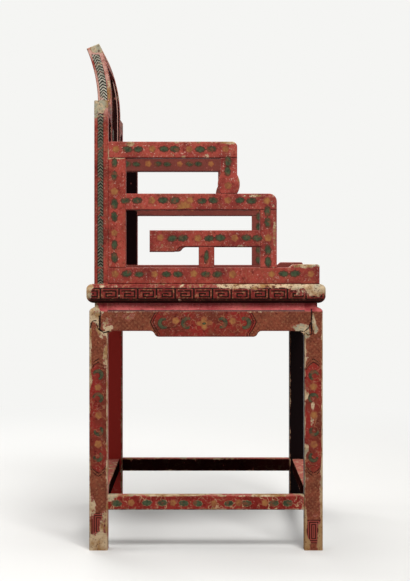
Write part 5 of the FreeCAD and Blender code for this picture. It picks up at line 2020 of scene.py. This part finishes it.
@dataclass
class Back:
    """The back: posts, shoulders, rails, stiles, crest and splat.

    Attributes:
        front: The Y of its front faces below the bend.
        crest_turn: How far round the bend the crest's middle lies.
        stile_middle: The distance of a stile's middle from the chair's middle.
        stile_row: The row up a stile.
        sill_row: The row along the back's sill.
        rail_figures: The figures on a rail between post and stile, each with its place from its middle.
        rail_middles: The middles of that rail and of the shoulder, each with its height.
        crest_row: The row along the crest.
        splat_front: The Y of the splat's front face.
        splat_figures: The figures up the splat, each with its height, its turn and its size.
        splat_heart: The height of the leaf in the middle of the splat's flower.
        inner_faces: The distances from the chair's middle of the side faces darkened as painted shade.
        stile_bands: The stretches of the stiles and the crest that are worn more: their tops.
        post_bands: The same on the posts and the shoulders.
        stile_spots: The patches on the stiles and the crest where the gesso shows.
        post_spots: Those on the posts and the shoulders.
    """

    front: float = 0.1865
    crest_turn: float = 0.322
    stile_middle: float = 0.160
    stile_row: Row = Row("LLFLLFLLFLL", 0.824, -0.078, 0.0, upright=True)
    sill_row: Row = Row("FLLFLLFLLFLLFLLFLLF", 0.2235, -0.0745, 0.5217)
    rail_figures: tuple[tuple[Motif, float], ...] = (
        (Motif.LEAF, -0.0235),
        (Motif.BLOSSOM, 0.0),
        (Motif.LEAF, 0.0235),
    )
    rail_middles: tuple[tuple[float, float], ...] = ((0.216, 0.6655), (0.231, 0.841))
    crest_row: Row = Row("FLLFLLFLLFLLF", 0.1472, -0.0736, 0.0)
    splat_front: float = 0.19275
    splat_figures: tuple[tuple[Motif, float, float, float], ...] = (
        (Motif.CRESCENT, 0.575, math.pi / 2, 1.5),
        (Motif.BLOSSOM, 0.604, 0.0, 1.3),
        (Motif.CRESCENT, 0.640, math.pi / 2, 1.5),
        (Motif.QUATREFOIL, 0.690, 0.0, 1.4),
        (Motif.CRESCENT, 0.740, -math.pi / 2, 1.5),
        (Motif.BLOSSOM, 0.776, 0.0, 1.3),
        (Motif.CRESCENT, 0.805, -math.pi / 2, 1.5),
    )
    splat_heart: float = 0.690
    inner_faces: tuple[float, ...] = (0.045, 0.145, 0.257)
    stile_bands: tuple[WornBand, ...] = (
        WornBand(Axis.Z, 0.962, 1.0, 0.26, 0.008),
        WornBand(Axis.Z, 0.86, 0.98, 0.04, 0.03),
    )
    post_bands: tuple[WornBand, ...] = (WornBand(Axis.Z, 0.84, 0.86, 0.18, 0.008),)
    stile_spots: tuple[WornSpot, ...] = (
        WornSpot(92.2, 41.0, 5.0, 5.0, 0.3, grey=True),
        WornSpot(105.2, 85.5, 2.0, 13.0, 0.34),
    )
    post_spots: tuple[WornSpot, ...] = (
        WornSpot(99.0, 105.0, 7.0, 8.0, 0.36, grey=True),
        WornSpot(95.5, 114.0, 2.2, 8.0, 0.32, grey=True),
    )

    def paint(self, painter: Painter) -> None:
        """Lays the ornament on the back's front faces.

        Args:
            painter: Lays the figures.
        """
        face = Face(Axis.Y, self.front, -1)
        for side in Side:
            painter.row(face, replace(self.stile_row, middle=side.value * self.stile_middle))
            for middle, height in self.rail_middles:
                for motif, off in self.rail_figures:
                    painter.figure(face, motif, Vector((side.value * middle + off, 0.0, height)), 0.0)
        painter.row(face, self.sill_row)
        radius = BEND_Y - self.front
        level = BEND_Y - radius * math.cos(self.crest_turn)
        height = BEND_Z + radius * math.sin(self.crest_turn)
        crest = Face(Axis.Y, level, -1, self.crest_turn)
        painter.row(crest, replace(self.crest_row, middle=height))
        splat = Face(Axis.Y, self.splat_front, -1)
        for motif, height, turn, size in self.splat_figures:
            painter.figure(splat, motif, Vector((0.0, 0.0, height)), turn, size)
        painter.figure(splat, Motif.LEAF, Vector((0.0, 0.0, self.splat_heart)), 0.0, 0.6, layer=2)
        painter.piece("back_ornament")

    def dress(self) -> None:
        """Lacquers the back."""
        # Painted shade: the back's inward side faces near black
        inside = {
            "inner_faces": self.inner_faces,
            "inner_colour": PALETTE.inside_dark,
            "inner_share": 0.965,
            "gloss": 0.02,
        }
        coat(Lacquer("back_lacquer", rubbed=0.2, **inside), [*both("back_side_rail"), "back_sill"])
        # Painted shade: the splat near black, deep in the back
        dark = {"first": PALETTE.splat, "second": PALETTE.splat_deep}
        coat(Lacquer("splat_lacquer", rubbed=0.26, gloss=0.0, **dark), ["back_splat"])
        woven = {"ground": Ground.HERRINGBONE, "rubbed": 0.24, **inside}
        stiles = Lacquer("back_stile_lacquer", bands=self.stile_bands, spots=self.stile_spots, **woven)
        coat(stiles, [*both("back_stile"), "crest_rail"])
        posts = Lacquer("back_post_lacquer", bands=self.post_bands, spots=self.post_spots, **woven)
        coat(posts, both("back_post", "shoulder_rail"))


@dataclass
class Studio:
    """The floor, the light and the camera.

    Attributes:
        near_face: The distance of the near legs' outer faces from the chair's middle.
        near_distance: How far the camera stands from those faces.
        floor_size: The length of the floor's sides.
        floor_colour: The floor's colour to the camera and in reflections.
        floor_shade: Its colour to all other light.
        fade: How far from the chair the floor starts to fade into the wall, and where it ends to.
        wall: The wall's colour.
        daylight: The strength of the even light all round.
        aim: Where the lamps look.
        lamps: Each lamp's name, place, size and power.
    """

    near_face: float = 0.295
    near_distance: float = 3.15
    floor_size: float = 30.0
    floor_colour: Colour = tint(214, 213, 210)
    floor_shade: Colour = tint(110, 110, 110)
    fade: tuple[float, float] = (0.5, 2.6)
    wall: Colour = tint(245, 245, 243)
    daylight: float = 0.16
    aim: tuple[float, float, float] = (0.0, 0.0, 0.45)
    lamps: tuple[tuple[str, tuple[float, float, float], float, float], ...] = (
        ("key_light", (-3.4, -0.9, 3.7), 1.6, 190.0),
        ("fill_light", (-3.0, 2.6, 2.6), 2.4, 24.0),
        ("far_light", (3.4, 1.3, 2.4), 2.2, 100.0),
        ("rear_light", (0.4, 3.6, 2.4), 2.2, 45.0),
        ("top_light", (0.2, -0.4, 3.4), 2.0, 45.0),
    )

    def build(self) -> None:
        """Sets everything up."""
        self.floor()
        self.world()
        for lamp in self.lamps:
            self.lamp(*lamp)
        self.camera()
        bpy.context.scene.view_settings.view_transform = "Standard"

    def floor(self) -> None:
        """A plain pale floor that the camera sees fade into the pale wall far from the chair."""
        Bench.clear()
        bpy.ops.mesh.primitive_plane_add(size=self.floor_size)
        floor = bpy.context.active_object
        floor.name = "studio_floor"
        graph = PaintGraph("studio_floor")
        rays = graph.node("ShaderNodeLightPath").outputs
        seen = graph.most(rays["Is Camera Ray"], rays["Is Glossy Ray"])
        graph.feed(graph.shader.inputs["Roughness"], 0.9)
        graph.feed(graph.shader.inputs["Base Color"], graph.mix(seen, self.floor_shade, self.floor_colour))
        far = graph.field("Value", "ShaderNodeVectorMath", {0: graph.place}, operation="LENGTH")
        fade = graph.rise(far, *self.fade) * rays["Is Camera Ray"]
        glow = graph.field("Emission", "ShaderNodeEmission", {"Color": self.wall})
        shaders = {0: fade, 1: graph.shader.outputs["BSDF"], 2: glow}
        graph.feed(graph.output.inputs["Surface"], graph.field("Shader", "ShaderNodeMixShader", shaders))
        floor.data.materials.append(graph.material)

    def world(self) -> None:
        """An even grey light all round, which the camera and mirrors see as a pale wall."""
        world = bpy.data.worlds.new("studio_world")
        bpy.context.scene.world = world
        world.use_nodes = True
        graph = Graph(world.node_tree)
        rays = graph.node("ShaderNodeLightPath").outputs
        seen = graph.most(*(rays[f"Is {kind} Ray"] for kind in ("Camera", "Glossy", "Transmission")))
        even = {"Color": (1.0, 1.0, 1.0), "Strength": self.daylight}
        light = graph.field("Background", "ShaderNodeBackground", even)
        wall = graph.field("Background", "ShaderNodeBackground", {"Color": self.wall})
        mixed = graph.field("Shader", "ShaderNodeMixShader", {0: seen, 1: light, 2: wall})
        graph.node("ShaderNodeOutputWorld", {"Surface": mixed})

    def lamp(self, name: str, place: tuple[float, float, float], size: float, power: float) -> None:
        """A square soft light that looks at the chair's middle.

        Args:
            name: The lamp's name.
            place: Its place.
            size: Its side.
            power: Its power in watts.
        """
        aim = (Vector(self.aim) - Vector(place)).to_track_quat("-Z", "Y")
        bpy.ops.object.light_add(type="AREA", location=place, rotation=aim.to_euler())
        lamp = bpy.context.active_object
        lamp.name = name
        lamp.data.size = size
        lamp.data.energy = power

    def camera(self) -> None:
        """The photograph's camera, level with the lower back and square to the chair's side."""
        place = (
            -self.near_face - self.near_distance,
            depth_at(VIEW_COLUMN),
            height_at(HORIZON_ROW),
        )
        bpy.ops.object.camera_add(location=place, rotation=(math.pi / 2, 0.0, -math.pi / 2))
        camera = bpy.context.active_object
        camera.name = "photograph_view"
        focal_pixels = self.near_distance / METRES_PER_PIXEL
        camera.data.sensor_fit = "VERTICAL"
        camera.data.sensor_height = SENSOR_HEIGHT_MM
        camera.data.lens = focal_pixels / IMAGE_HEIGHT * SENSOR_HEIGHT_MM
        camera.data.shift_y = (HORIZON_ROW - IMAGE_HEIGHT / 2) / IMAGE_HEIGHT
        bpy.context.scene.camera = camera


def main() -> None:
    """Dresses and paints the chair, sets the studio up and notes the sizes."""
    logging.basicConfig(level=logging.INFO, format="%(name)s: %(message)s")
    Bench.clear()
    stock = MotifStock()
    stock.build()
    painter = Painter(stock, random.Random(SEED))
    arms = Arms()
    arms.dress()
    arms.paint(painter)
    base = Base()
    base.dress()
    base.paint(painter)
    Seat().dress()
    back = Back()
    back.dress()
    back.paint(painter)
    stock.put_away()
    Studio().build()


if __name__ == "__main__":
    main()
